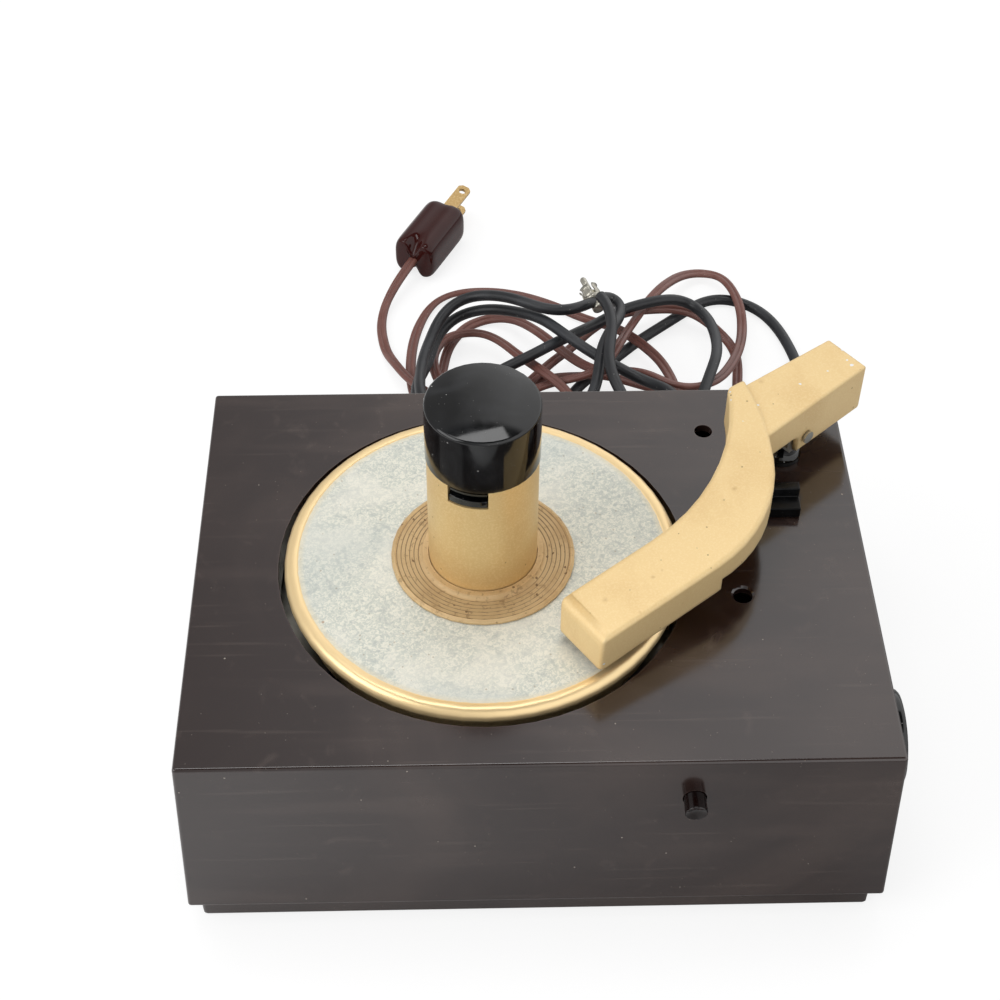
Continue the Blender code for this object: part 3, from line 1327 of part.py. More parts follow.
def make_tonearm(lift_axis, origin):
    low = HEAD_BOTTOM - OVERRUN
    outline = beam_outline()
    arm = sloped_prism("tonearm", outline, low, 0, lift_axis, origin)
    bevel(arm, ARM_EDGE, 2, 40)
    along, across = heading_vectors()
    width = ARM_INNER_LINE - ARM_OUTER_LINE
    cut(arm, nose_cutter(lift_axis, origin, width))
    front = head_point(ARM_FRONT, (ARM_INNER_LINE + ARM_OUTER_LINE) / 2)
    length = HEAD_STEP - ARM_FRONT
    reach = length + 2 * OVERRUN
    depth = 2 * OVERRUN
    head_trim = box(
        "head_trim",
        (reach, width + 2 * OVERRUN, depth),
        SATIN_GOLD,
        parent=lift_axis,
        turn=(0, -math.atan(ARM_TOP_SLOPE), ARM_HEADING),
    )
    middle = front + along * length / 2
    rise = ARM_TOP_SLOPE * length / 2
    head_trim.location = Vector((*middle, CASE_TOP + HEAD_BOTTOM + rise - depth / 2)) - origin
    far = 8 * OVERRUN
    beam_trim = box(
        "beam_trim",
        (far, 2 * far, far),
        SATIN_GOLD,
        parent=lift_axis,
        turn=(0, 0, ARM_HEADING),
    )
    middle = head_point(HEAD_STEP + far / 2, ARM_OUTER_LINE)
    beam_trim.location = Vector((*middle, CASE_TOP + BEAM_BOTTOM - far / 2)) - origin
    cut(arm, head_trim, beam_trim)
    rear = plate("rear_box", [BOX_CORNERS], BOX_TOP - BOX_BOTTOM, SATIN_GOLD, parent=lift_axis)
    rear.location = Vector((0, 0, CASE_TOP + BOX_BOTTOM)) - origin
    bevel(rear, ARM_EDGE / 2, 2, 40)
    join(arm, rear)
    cut(arm, sloped_prism("beam_hollow", inset(outline, ARM_WALL), low, ARM_WALL, lift_axis, origin))
    height = BOX_TOP - ARM_WALL - BOX_BOTTOM + OVERRUN
    rear_hollow = plate("rear_hollow", [inset(BOX_CORNERS, ARM_WALL)], height, SATIN_GOLD, parent=lift_axis)
    rear_hollow.location = Vector((0, 0, CASE_TOP + BOX_BOTTOM - OVERRUN)) - origin
    cut(arm, rear_hollow, notch_in_box(lift_axis, origin), pin_bore(lift_axis))


def nose_cutter(lift_axis, origin, width):
    """Rounds the head's upper front edge."""
    corner = head_point(ARM_FRONT, (ARM_INNER_LINE + ARM_OUTER_LINE) / 2)
    nose = ARM_NOSE
    over = ARM_EDGE
    curve = arc((nose, -nose), nose, math.pi / 2, math.pi, 6)
    outline = [(-over, over), (-over, -nose), *curve[::-1], (nose, over)]
    span = width + 2 * over
    made = plate(
        "nose_cutter",
        [outline[::-1]],
        span,
        SATIN_GOLD,
        parent=lift_axis,
        turn=(math.pi / 2, 0, ARM_HEADING),
    )
    along, across = heading_vectors()
    foot = corner + across * span / 2
    made.location = Vector((*foot, CASE_TOP + arm_top(*corner))) - origin
    return made


def notch_in_box(lift_axis, origin):
    """The step under the box's near wall, next to the beam."""
    start = Vector(BOX_CORNERS[0])
    along = (Vector(BOX_CORNERS[1]) - start).normalized()
    heading = math.atan2(along.y, along.x)
    past_beam = OVERRUN + BOX_NOTCH_LENGTH
    height = BOX_NOTCH_HEIGHT + OVERRUN
    made = box(
        "box_notch",
        (past_beam + OVERRUN, 2 * ARM_WALL + OVERRUN / 4, height),
        SATIN_GOLD,
        parent=lift_axis,
        turn=(0, 0, heading),
    )
    bevel(made, 2 * ARM_EDGE, 3)
    middle = start + along * (past_beam - OVERRUN) / 2
    made.location = Vector((*middle, CASE_TOP + BOX_BOTTOM + BOX_NOTCH_HEIGHT - height / 2)) - origin
    return made


def lift_turn():
    """Turns +Z to the lift pin's axis."""
    return Vector(LIFT_AXIS).to_track_quat("Z", "Y").to_euler()


def pin_bore(lift_axis):
    length = LIFT_PIN_NEAR + LIFT_PIN_FAR + 2 * OVERRUN
    place = Vector(LIFT_AXIS) * -(LIFT_PIN_FAR + OVERRUN)
    radius = LIFT_PIN_RADIUS + RUNNING_GAP
    return rod("pin_bore", radius, length, SATIN_GOLD, parent=lift_axis, place=place, turn=lift_turn())


def make_arm_mount(swing):
    """The flange on the case is fixed; the shaft, yoke, pin and crank swing with the arm."""
    bore = PIVOT_SHAFT_RADIUS + RUNNING_GAP
    foot = CASE_TOP + SEAT_GAP
    profile = [
        (bore, CASE_TOP + PIVOT_POST_TOP),
        (PIVOT_POST_RADIUS, CASE_TOP + PIVOT_POST_TOP),
        (PIVOT_POST_RADIUS, foot + PIVOT_FLANGE_HEIGHT),
        (PIVOT_FLANGE_RADIUS, foot + PIVOT_FLANGE_HEIGHT * PIVOT_FLANGE_STEP_SHARE),
        (PIVOT_FLANGE_RADIUS, foot),
        (bore, foot),
    ]
    turned("arm_pivot_flange", profile, GLOSS_BLACK, place=(PIVOT_X, PIVOT_Y, 0))
    yoke_foot = CASE_TOP + YOKE_FOOT
    shaft_foot = CASE_TOP + PIVOT_SHAFT_FOOT
    shaft_top = yoke_foot - SEAT_GAP
    rod(
        "arm_pivot_shaft",
        PIVOT_SHAFT_RADIUS,
        shaft_top - shaft_foot,
        PLAIN_STEEL,
        parent=swing,
        place=(0, 0, shaft_foot),
    )
    rise = YOKE_TOP - YOKE_FOOT
    half = YOKE_HALF
    steel = YOKE_STEEL
    outline = [
        (-half, 0),
        (half, 0),
        (half, rise),
        (half - steel, rise),
        (half - steel, steel),
        (-half + steel, steel),
        (-half + steel, rise),
        (-half, rise),
    ]
    heading = math.atan2(LIFT_AXIS[1], LIFT_AXIS[0])
    across = Vector((-LIFT_AXIS[1], LIFT_AXIS[0], 0))
    yoke = plate(
        "arm_yoke",
        [outline],
        YOKE_LENGTH,
        PLAIN_STEEL,
        parent=swing,
        turn=(math.pi / 2, 0, heading),
        place=across * YOKE_LENGTH / 2 + Vector((0, 0, yoke_foot)),
    )
    height = CASE_TOP + LIFT_HEIGHT
    length = 4 * YOKE_HALF
    axis = Vector(LIFT_AXIS)
    bore = rod(
        "yoke_bore",
        LIFT_PIN_RADIUS + RUNNING_GAP,
        length,
        PLAIN_STEEL,
        parent=swing,
        place=axis * -length / 2 + Vector((0, 0, height)),
        turn=lift_turn(),
    )
    cut(yoke, bore)
    pin_end = LIFT_PIN_NEAR + LIFT_HEAD_HEIGHT
    pin = [
        (0, pin_end),
        (LIFT_HEAD_RADIUS, pin_end),
        (LIFT_HEAD_RADIUS, LIFT_PIN_NEAR),
        (LIFT_PIN_RADIUS, LIFT_PIN_NEAR),
        (LIFT_PIN_RADIUS, -LIFT_PIN_FAR),
        (0, -LIFT_PIN_FAR),
    ]
    turned(
        "arm_lift_pin",
        pin,
        PLAIN_STEEL,
        closed=False,
        parent=swing,
        place=(0, 0, height),
        turn=lift_turn(),
    )
    toward = cycle_place().xy - Vector((PIVOT_X, PIVOT_Y))
    gear_radius = GEAR_MODULE * (CYCLE_TEETH / 2 + TOOTH_TOP_SHARE)
    end = toward.normalized() * (toward.length - gear_radius - CRANK_END_RADIUS - CRANK_CLEARANCE)
    outline = capsule((0, 0), tuple(end), CRANK_RADIUS, CRANK_END_RADIUS)
    hole = circle((0, 0), PIVOT_SHAFT_RADIUS + HOLE_GAP)[::-1]
    at = (0, 0, CASE_TOP + CRANK_PLACE)
    plate("arm_crank", [outline, hole], CRANK_THICKNESS, PLAIN_STEEL, parent=swing, place=at)


def make_cartridge(lift_axis, origin):
    along, across = heading_vectors()
    length, width, height = CARTRIDGE_SIZE
    middle = head_point(
        ARM_FRONT + CARTRIDGE_SETBACK + length / 2, (ARM_INNER_LINE + ARM_OUTER_LINE) / 2
    )
    foot = CASE_TOP + CARTRIDGE_FOOT
    body = box(
        "cartridge",
        (length, width, height),
        GLOSS_BLACK,
        parent=lift_axis,
        place=Vector((*middle, foot + height / 2)) - origin,
        turn=(0, 0, ARM_HEADING),
    )
    behind = middle - along * CARTRIDGE_NECK / 2
    ceiling = CASE_TOP + arm_top(*behind) - ARM_WALL - SEAT_GAP
    neck_foot = foot + height / 2
    neck = box(
        "cartridge_neck",
        (CARTRIDGE_NECK, CARTRIDGE_NECK, ceiling - neck_foot),
        GLOSS_BLACK,
        parent=lift_axis,
        place=Vector((*middle, (neck_foot + ceiling) / 2)) - origin,
        turn=(0, 0, ARM_HEADING),
    )
    join(body, neck)
    tip = head_point(ARM_FRONT + CARTRIDGE_SETBACK + STYLUS_SETBACK, (ARM_INNER_LINE + ARM_OUTER_LINE) / 2)
    top = foot - SEAT_GAP
    needle = STYLUS_RADIUS / 4
    profile = [
        (0, top),
        (STYLUS_RADIUS, top),
        (STYLUS_RADIUS, top - STYLUS_DROP / 3),
        (needle, top - STYLUS_DROP * STYLUS_CONE_SHARE),
        (0, top - STYLUS_DROP),
    ]
    turned(
        "stylus",
        profile,
        PLAIN_STEEL,
        16,
        closed=False,
        parent=lift_axis,
        place=Vector((*tip, 0)) - origin,
    )


def make_arm():
    swing = axis_empty("arm_swing_axis", (PIVOT_X, PIVOT_Y, 0))
    lift_axis = axis_empty("arm_lift_axis", (0, 0, CASE_TOP + LIFT_HEIGHT), swing)
    origin = Vector((PIVOT_X, PIVOT_Y, CASE_TOP + LIFT_HEIGHT))
    make_arm_mount(swing)
    make_tonearm(lift_axis, origin)
    make_cartridge(lift_axis, origin)


def make_arm_rest():
    """A low step in front of a raised back wall."""
    depth = REST_BACK - REST_FRONT
    step = REST_STEP - REST_FRONT
    profile = [(0, 0), (depth, 0), (depth, REST_HIGH), (step, REST_HIGH), (step, REST_LOW), (0, REST_LOW)]
    rest = plate(
        "arm_rest",
        [profile],
        REST_RIGHT - REST_LEFT,
        GLOSS_BLACK,
        place=(REST_LEFT, REST_FRONT, CASE_TOP + SEAT_GAP),
        turn=(math.pi / 2, 0, math.pi / 2),
    )
    bevel(rest, REST_CORNER / 5, 2)


def make_button(chassis):
    z = CASE_TOP - BUTTON_DROP
    front = -half_case(z)[1]
    end = front - BUTTON_PROTRUSION
    inside = front + CASE_WALL + 2 * SEAT_GAP
    radius = BUTTON_RADIUS
    # The profile's height runs out of the front, along -Y
    profile = [
        (0, -end - BUTTON_DISH),
        (radius * BUTTON_DISH_SHARES[0], -end - BUTTON_DISH * BUTTON_DISH_SHARES[1]),
        (radius * BUTTON_RIM_SHARE, -end),
        (radius, -end - BUTTON_DISH / 4),
        (radius, -inside),
        (BUTTON_COLLAR_RADIUS, -inside),
        (BUTTON_COLLAR_RADIUS, -inside - BUTTON_COLLAR),
        (BUTTON_STEM_RADIUS, -inside - BUTTON_COLLAR),
        (BUTTON_STEM_RADIUS, -BUTTON_STEM_END),
        (0, -BUTTON_STEM_END),
    ]
    turn = (math.pi / 2, 0, 0)
    turned("reject_button", profile, CASE_BROWN, 24, closed=False, place=(BUTTON_X, 0, z), turn=turn)
    bracket_foot = PLATE_TOP - PLATE_THICKNESS / 2
    size = (2 * BUTTON_COLLAR_RADIUS, 2 * YOKE_STEEL, z - bracket_foot + BUTTON_COLLAR_RADIUS)
    middle = bracket_foot + size[2] / 2
    tab = box("button_tab", size, PLAIN_STEEL, place=(BUTTON_X, BRACKET_PLACE, middle))
    join(chassis, tab)
    hole = rod(
        "tab_hole",
        BUTTON_STEM_RADIUS + HOLE_GAP,
        OVERRUN,
        PLAIN_STEEL,
        24,
        place=(BUTTON_X, BRACKET_PLACE + OVERRUN / 2, z),
        turn=turn,
    )
    cut(chassis, hole)
    start = inside + BUTTON_COLLAR + SEAT_GAP + SPRING_WIRE
    finish = BRACKET_PLACE - size[1] / 2 - SEAT_GAP - SPRING_WIRE
    points = []
    per_turn = 8
    count = SPRING_TURNS * per_turn + 1
    for i in range(count):
        angle = math.tau * i / per_turn
        share = i / (count - 1)
        points.append(
            (
                BUTTON_X + SPRING_RADIUS * math.cos(angle),
                start + (finish - start) * share,
                z + SPRING_RADIUS * math.sin(angle),
            )
        )
    tube("button_spring", points, SPRING_WIRE, PLAIN_STEEL, 1)


def make_trip_lever():
    pivot = Vector(TRIP_PIVOT)
    axis = axis_empty("trip_axis", (*TRIP_PIVOT, 0))
    near = Vector(TRIP_TOUCH) - pivot
    far = Vector(TRIP_FAR) - pivot
    radius = TRIP_STEM_RADIUS
    z = CASE_TOP - BUTTON_DROP - TRIP_THICKNESS / 2
    tip = TRIP_TIP_SHARE * radius
    hub = TRIP_HUB_SHARE * radius
    near_heading = math.atan2(near.y, near.x)
    far_heading = math.atan2(far.y, far.x)
    quarter = math.pi / 2
    outline = [
        *arc(near, tip, near_heading - quarter, near_heading + quarter, 6),
        *arc((0, 0), hub, near_heading + quarter, far_heading - quarter, 7),
        *arc(far, tip, far_heading - quarter, far_heading + quarter, 6),
        tuple((near.normalized() + far.normalized()) * hub * TRIP_CORNER_SHARE),
    ]
    hole = circle((0, 0), radius + HOLE_GAP, 20)[::-1]
    plate("trip_lever", [outline, hole], TRIP_THICKNESS, PLAIN_STEEL, parent=axis, place=(0, 0, z))
    profile = [
        (0, z + 2 * TRIP_THICKNESS),
        (radius, z + 2 * TRIP_THICKNESS),
        (radius, z - SEAT_GAP),
        (2 * radius, z - SEAT_GAP),
        (2 * radius, PLATE_TOP + SEAT_GAP),
        (0, PLATE_TOP + SEAT_GAP),
    ]
    turned("trip_pivot", profile, PLAIN_STEEL, 20, closed=False, place=(*TRIP_PIVOT, 0))


def make_knob():
    face = knob_place(SEAT_GAP)
    axis = axis_empty("knob_axis", face)
    height = KNOB_PROTRUSION - SEAT_GAP
    rounding = KNOB_ROUNDING
    edge = arc((KNOB_RADIUS - rounding, height - rounding), rounding, math.pi / 2, 0, 4)
    depth = CASE_WALL + 2 * KNOB_SHAFT_RADIUS
    profile = [
        (0, height - rounding / 2),
        (KNOB_RADIUS - 2 * rounding, height - rounding / 2),
        *edge,
        (KNOB_RADIUS, 0),
        (SWITCH_BUSH_RADIUS + 2 * SEAT_GAP, 0),
        (SWITCH_BUSH_RADIUS + 2 * SEAT_GAP, rounding),
        (KNOB_SHAFT_RADIUS, rounding),
        (KNOB_SHAFT_RADIUS, -depth),
        (0, -depth),
    ]
    knob = turned("power_knob", profile, GLOSS_BLACK, 40, closed=False, parent=axis, turn=knob_turn())
    wall_inside = -CASE_WALL - SEAT_GAP
    body = box(
        "power_switch",
        (SWITCH_SIZE, SWITCH_SIZE, SWITCH_LENGTH),
        PAPER_BOARD,
        place=knob_place(wall_inside - SWITCH_LENGTH / 2),
        turn=knob_turn(),
    )
    bush_length = CASE_WALL + SEAT_GAP + OVERRUN / 4
    bush = rod(
        "switch_bush",
        SWITCH_BUSH_RADIUS,
        bush_length,
        PAPER_BOARD,
        place=knob_place(wall_inside - OVERRUN / 4),
        turn=knob_turn(),
    )
    join(body, bush)
    bore = rod(
        "switch_bore",
        KNOB_SHAFT_RADIUS + RUNNING_GAP,
        depth + OVERRUN,
        PAPER_BOARD,
        place=knob_place(-depth),
        turn=knob_turn(),
    )
    cut(body, bore)
    return knob


def make_terminal_strip():
    size = STRIP_SIZE
    z = PLATE_TOP - PLATE_THICKNESS - SEAT_GAP
    back = CASE_DEPTH / 2 - POST_INSET_Y
    place = (MAINS_EXIT_X - size[0] / 2, back - size[1] / 2, z - size[2] / 2)
    strip = box("terminal_strip", size, PAPER_BOARD, place=place)
    for i in range(4):
        x = place[0] + (2 * i - 3) * size[0] / 9
        lug = box(
            f"lug_{i}",
            (size[2], size[1] / 4, 3 * size[2]),
            PAPER_BOARD,
            place=(x, place[1], place[2] - size[2]),
        )
        join(strip, lug)


def make_exits():
    """A tapered strain relief for the mains cord and a plain grommet for the audio cable."""
    wall = half_case(EXIT_HEIGHT)[1]
    back = wall + 2 * SEAT_GAP + RELIEF_FLANGE_RADIUS * math.tan(FRONT_DRAFT)
    inside = wall - CASE_WALL - 2 * SEAT_GAP
    flange = RELIEF_FLANGE_RADIUS
    lip = RELIEF_FLANGE_RADIUS - RELIEF_ROOT_RADIUS
    for name, x, length, tip, look in (
        ("mains_strain_relief", MAINS_EXIT_X, RELIEF_LENGTH, RELIEF_TIP_RADIUS, CORD_BROWN),
        ("audio_grommet", AUDIO_EXIT_X, GROMMET_LENGTH, RELIEF_TIP_RADIUS, RUBBER),
    ):
        far = back + length
        profile = [
            (0, -inside),
            (RELIEF_ROOT_RADIUS, -inside),
            (RELIEF_ROOT_RADIUS, -back),
            (flange, -back),
            (flange, -back - lip),
            (RELIEF_ROOT_RADIUS, -back - lip),
            (tip, -far),
            (0, -far),
        ]
        turned(
            name,
            profile,
            look,
            20,
            closed=False,
            place=(x, 0, EXIT_HEIGHT),
            turn=(math.pi / 2, 0, 0),
        )
    return back


def tube(name, points, radius, look, resolution=2):
    curve = bpy.data.curves.new(name, "CURVE")
    curve.dimensions = "3D"
    curve.bevel_depth = radius
    curve.bevel_resolution = resolution
    curve.use_fill_caps = True
    spline = curve.splines.new("POLY")
    spline.points.add(len(points) - 1)
    for point, place in zip(spline.points, points):
        point.co = (*place, 1)
    return add(name, curve, look)


def along(points):
    """The distance run at each point of a path."""
    steps = np.linalg.norm(np.diff(points, axis=0), axis=1)
    return np.concatenate([[0], np.cumsum(steps)])


def smooth_path(points):
    """Samples one LAY_STEP apart on a centripetal curve through the given points."""
    p = np.array(points, float)
    p = np.vstack([2 * p[0] - p[1], p, 2 * p[-1] - p[-2]])
    runs = []
    for a, b, c, d in zip(p[:-3], p[1:-2], p[2:-1], p[3:]):
        t1 = math.sqrt(math.dist(a, b))
        t2 = t1 + math.sqrt(math.dist(b, c))
        t3 = t2 + math.sqrt(math.dist(c, d))
        t = np.linspace(t1, t2, ROUND_STEPS, endpoint=False)[:, None]
        ab = a + (b - a) * t / t1
        bc = b + (c - b) * (t - t1) / (t2 - t1)
        cd = c + (d - c) * (t - t2) / (t3 - t2)
        abc = ab + (bc - ab) * t / t2
        bcd = bc + (cd - bc) * (t - t1) / (t3 - t1)
        runs.append(abc + (bcd - abc) * (t - t1) / (t2 - t1))
    fine = np.vstack([*runs, p[-2:-1]])
    run = along(fine)
    at = np.linspace(0, run[-1], int(round(run[-1] / LAY_STEP)) + 1)
    return np.stack([np.interp(at, run, fine[:, k]) for k in range(2)], 1)


def samples(length):
    return int(round(length / LAY_STEP))


def neighbours(values, reach):
    """Each value's neighbours up to reach samples away, as rows; the ends repeat."""
    padded = np.concatenate([[values[0]] * reach, values, [values[-1]] * reach])
    return np.stack([padded[k : k + len(values)] for k in range(2 * reach + 1)])


def hump(values):
    """Widens the crests, lets the flanks fall at CORD_FALL_SHARE and rounds both."""
    out = neighbours(values, samples(RISE_LENGTH)).max(0)
    fall = CORD_FALL_SHARE * LAY_STEP
    for i in range(1, len(out)):
        out[i] = max(out[i], out[i - 1] - fall)
    for i in range(len(out) - 2, -1, -1):
        out[i] = max(out[i], out[i + 1] - fall)
    out = neighbours(out, samples(EASE_LENGTH)).mean(0)
    return neighbours(out, samples(CREST_LENGTH)).mean(0)


def held_height(count, radius, exit_height, far_height):
    """The height that a cord keeps at its exit and at a plug, falling to the floor between."""
    run = np.arange(count) * LAY_STEP
    height = np.full(count, radius + FLOOR_GAP)
    ends = [(run, exit_height, EXIT_RUN, EXIT_FALL)]
    if far_height:
        ends.append((run[::-1], far_height, PLUG_RUN, PLUG_FALL))
    for away, held, straight, fall in ends:
        share = np.clip((away - straight) / fall, 0, 1)
        height = np.maximum(height, radius + (held - radius) * (1 + np.cos(np.pi * share)) / 2)
    return height


def lay_cords(cords):
    """Lays each cord over what was laid before it. A cord is its plan points, radius,
    exit height, far height, and the share of a metre from which it lies over every other one."""
    paths = [smooth_path(cord[0]) for cord in cords]
    counts = [len(path) for path in paths]
    where = np.vstack(paths)
    radius = np.concatenate([np.full(n, cord[1]) for n, cord in zip(counts, cords)])
    own = np.concatenate([np.full(n, i) for i, n in enumerate(counts)])
    index = np.concatenate([np.arange(n) for n in counts])
    first_over = [samples(cord[4]) for cord in cords]
    rank = np.where(index >= np.array(first_over)[own], len(cords), 0) + own
    order = rank * len(where) + index
    floor = np.concatenate([held_height(n, cord[1], cord[2], cord[3]) for n, cord in zip(counts, cords)])
    pairs = []
    for i in range(len(where)):
        apart = np.hypot(*(where - where[i]).T)
        meet = (apart < radius + radius[i] + CORD_GAP) & (order < order[i])
        meet &= (own != own[i]) | (np.abs(index - index[i]) > samples(OWN_LENGTH))
        for j in np.nonzero(meet)[0]:
            reach = radius[j] + radius[i] + CORD_GAP
            pairs.append((j, i, math.sqrt(reach**2 - apart[j] ** 2)))
    lower, upper, rise = (np.array(column) for column in zip(*pairs))
    lower, upper = lower.astype(int), upper.astype(int)
    height = floor.copy()
    cuts = np.cumsum(counts)[:-1]
    for _ in range(ROUND_STEPS):
        wanted = floor.copy()
        np.maximum.at(wanted, upper, height[lower] + rise)
        lifted = np.where(wanted > floor + LEAST_LIFT, wanted, radius)
        height = np.concatenate([hump(part) for part in np.split(lifted, cuts)])
        height = np.maximum(height, floor)
    return [np.column_stack(pair) for pair in zip(np.split(where, cuts), np.split(height, cuts))]


def thinned(route, first, last):
    """Few points on a stretch of a route: no chord leaves it by more than CHORD_SAG."""
    keep = [first]
    while keep[-1] < last:
        start = keep[-1]
        end = min(last, start + samples(CHORD_LIMIT))
        while end > start + 2:
            chord = route[end] - route[start]
            between = route[start:end] - route[start]
            share = between @ chord / (chord @ chord)
            if np.linalg.norm(between - share[:, None] * chord, axis=1).max() < CHORD_SAG:
                break
            end -= 1
        keep.append(end)
    return [route[k] for k in keep]


def stretches(route, radius, splits):
    """The route cut at the splits into runs of points, straight for a diameter at each cut."""
    ends = [0, *(samples(split) for split in splits), len(route) - 1]
    reach = samples(2 * radius)
    runs = []
    for first, last in zip(ends[:-1], ends[1:]):
        inner = thinned(route, first + reach, last - reach)
        start, end = route[first], route[last]
        if first:
            heading = route[first + reach] - route[first - reach]
            start = start + heading / np.linalg.norm(heading) * SEAT_GAP / 2
            inner[0] = start + heading / 2
        if last < len(route) - 1:
            heading = route[last + reach] - route[last - reach]
            end = end - heading / np.linalg.norm(heading) * SEAT_GAP / 2
            inner[-1] = end - heading / 2
        runs.append(np.array([start, *inner, end]))
    return runs


def filled(run):
    """Samples one LAY_STEP apart on a tube's straight runs."""
    at = along(run)
    fine = np.arange(0, at[-1], LAY_STEP)
    return np.stack([np.interp(fine, at, run[:, k]) for k in range(3)], 1)


def least_gap(run, radius, others):
    """The least gap between a run's own turns, and to the other runs given with their radii.
    Two runs of one cord that meet end to end are compared away from their joint."""
    points = filled(run)
    least = between = math.inf
    for i in range(len(points)):
        far = np.abs(np.arange(len(points)) - i) > samples(OWN_LENGTH)
        least = min(least, np.linalg.norm(points[far] - points[i], axis=1).min() - 2 * radius)
    for other, other_radius in others:
        rival = filled(other)
        for joint in (run[0], run[-1]):
            if min(math.dist(joint, other[0]), math.dist(joint, other[-1])) < 2 * SEAT_GAP:
                rival = rival[np.linalg.norm(rival - joint, axis=1) > OWN_LENGTH]
        for point in points:
            apart = np.linalg.norm(rival - point, axis=1).min() - radius - other_radius
            between = min(between, apart)
    return least, between


def make_cords(back):
    """Both cords in their loops, and the plug and the connector at their ends."""
    exits = []
    for x, length in ((MAINS_EXIT_X, RELIEF_LENGTH), (AUDIO_EXIT_X, GROMMET_LENGTH)):
        start = back + length + SEAT_GAP
        exits.append([(x, start), (x, start + EXIT_RUN / 2)])
    mains, audio = lay_cords(
        [
            (exits[0] + list(MAINS_ROUTE), MAINS_RADIUS, EXIT_HEIGHT, PLUG_CENTRE, 0),
            (exits[1] + list(AUDIO_ROUTE), AUDIO_RADIUS, EXIT_HEIGHT, 0, AUDIO_SPLITS[0]),
        ]
    )
    lead, hank, tail = stretches(mains, MAINS_RADIUS, MAINS_SPLITS)
    audio_lead, audio_hank = stretches(audio, AUDIO_RADIUS, AUDIO_SPLITS)
    tube("mains_lead", lead, MAINS_RADIUS, CORD_BROWN)
    tube("mains_hank", hank, MAINS_RADIUS, CORD_BROWN, 1)
    tube("mains_tail", tail, MAINS_RADIUS, CORD_BROWN)
    tube("audio_lead", audio_lead, AUDIO_RADIUS, CORD_BLACK)
    tube("audio_hank", audio_hank, AUDIO_RADIUS, CORD_BLACK, 1)
    print("mains cord", round(along(mains)[-1], 3), "m, audio cable", round(along(audio)[-1], 3), "m")
    rest = [(lead, MAINS_RADIUS), (tail, MAINS_RADIUS)]
    rest += [(audio_lead, AUDIO_RADIUS), (audio_hank, AUDIO_RADIUS)]
    own, other = least_gap(hank, MAINS_RADIUS, rest)
    print(f"mains_hank: least gap to itself {own:.5f} m, to the rest {other:.5f} m")
    own, other = least_gap(audio_hank, AUDIO_RADIUS, [(audio_lead, AUDIO_RADIUS), (tail, MAINS_RADIUS)])
    print(f"audio_hank: least gap to itself {own:.5f} m, to the rest {other:.5f} m")
    make_plug(tail[-1], tail[-1] - tail[-2])
    make_phono_plug(audio_hank[-1], audio_hank[-1] - audio_hank[-2])


def make_plug(cord_end, heading):
    """A moulded plug with two lobes at the back and the cord between them. It lies with its two
    blades one above the other."""
    angle = math.atan2(heading[1], heading[0])
    rear = Vector(cord_end) + Vector((math.cos(angle), math.sin(angle), 0)) * (SEAT_GAP - PLUG_NOTCH_DEPTH)
    frame = axis_empty("plug_frame", (rear.x, rear.y, PLUG_CENTRE))
    frame.rotation_euler = (PLUG_ROLL, 0, angle)
    half = PLUG_WIDTH / 2
    notch = PLUG_NOTCH_WIDTH / 2
    side = [(PLUG_LENGTH, half), *arc((PLUG_LOBE, half - PLUG_LOBE), PLUG_LOBE, math.pi / 2, math.pi, 5)]
    side += [(0, notch), (PLUG_NOTCH_DEPTH, notch)]
    outline = side + [(x, -y) for x, y in side[::-1]]
    foot = (0, 0, -PLUG_HEIGHT / 2)
    body = plate("plug_body", [outline], PLUG_HEIGHT, PLUG_BROWN, parent=frame, place=foot)
    bevel(body, PLUG_EDGE)
    for i, sign in enumerate((-1, 1)):
        above = sign * BLADE_SPACING / 2
        slot = box(
            "blade_slot",
            (BLADE_ROOT + OVERRUN, BLADE_HEIGHT + 2 * SEAT_GAP, BLADE_PLATE + 2 * SEAT_GAP),
            PLUG_BROWN,
            parent=frame,
            place=(PLUG_LENGTH + (OVERRUN - BLADE_ROOT) / 2, 0, above),
        )
        cut(body, slot)
        front = PLUG_LENGTH + BLADE_OUT
        root = PLUG_LENGTH - BLADE_ROOT + SEAT_GAP
        tip = BLADE_HEIGHT / 4
        blade = [(root, -BLADE_HEIGHT / 2), (front - tip, -BLADE_HEIGHT / 2), (front, -tip)]
        blade += [(x, -y) for x, y in blade[::-1]]
        hole = circle((front - BLADE_HOLE_SETBACK, 0), BLADE_HOLE, 16)[::-1]
        level = (0, 0, above - BLADE_PLATE / 2)
        plate(f"plug_blade_{i + 1}", [blade, hole], BLADE_PLATE, PLAIN_BRASS, parent=frame, place=level)


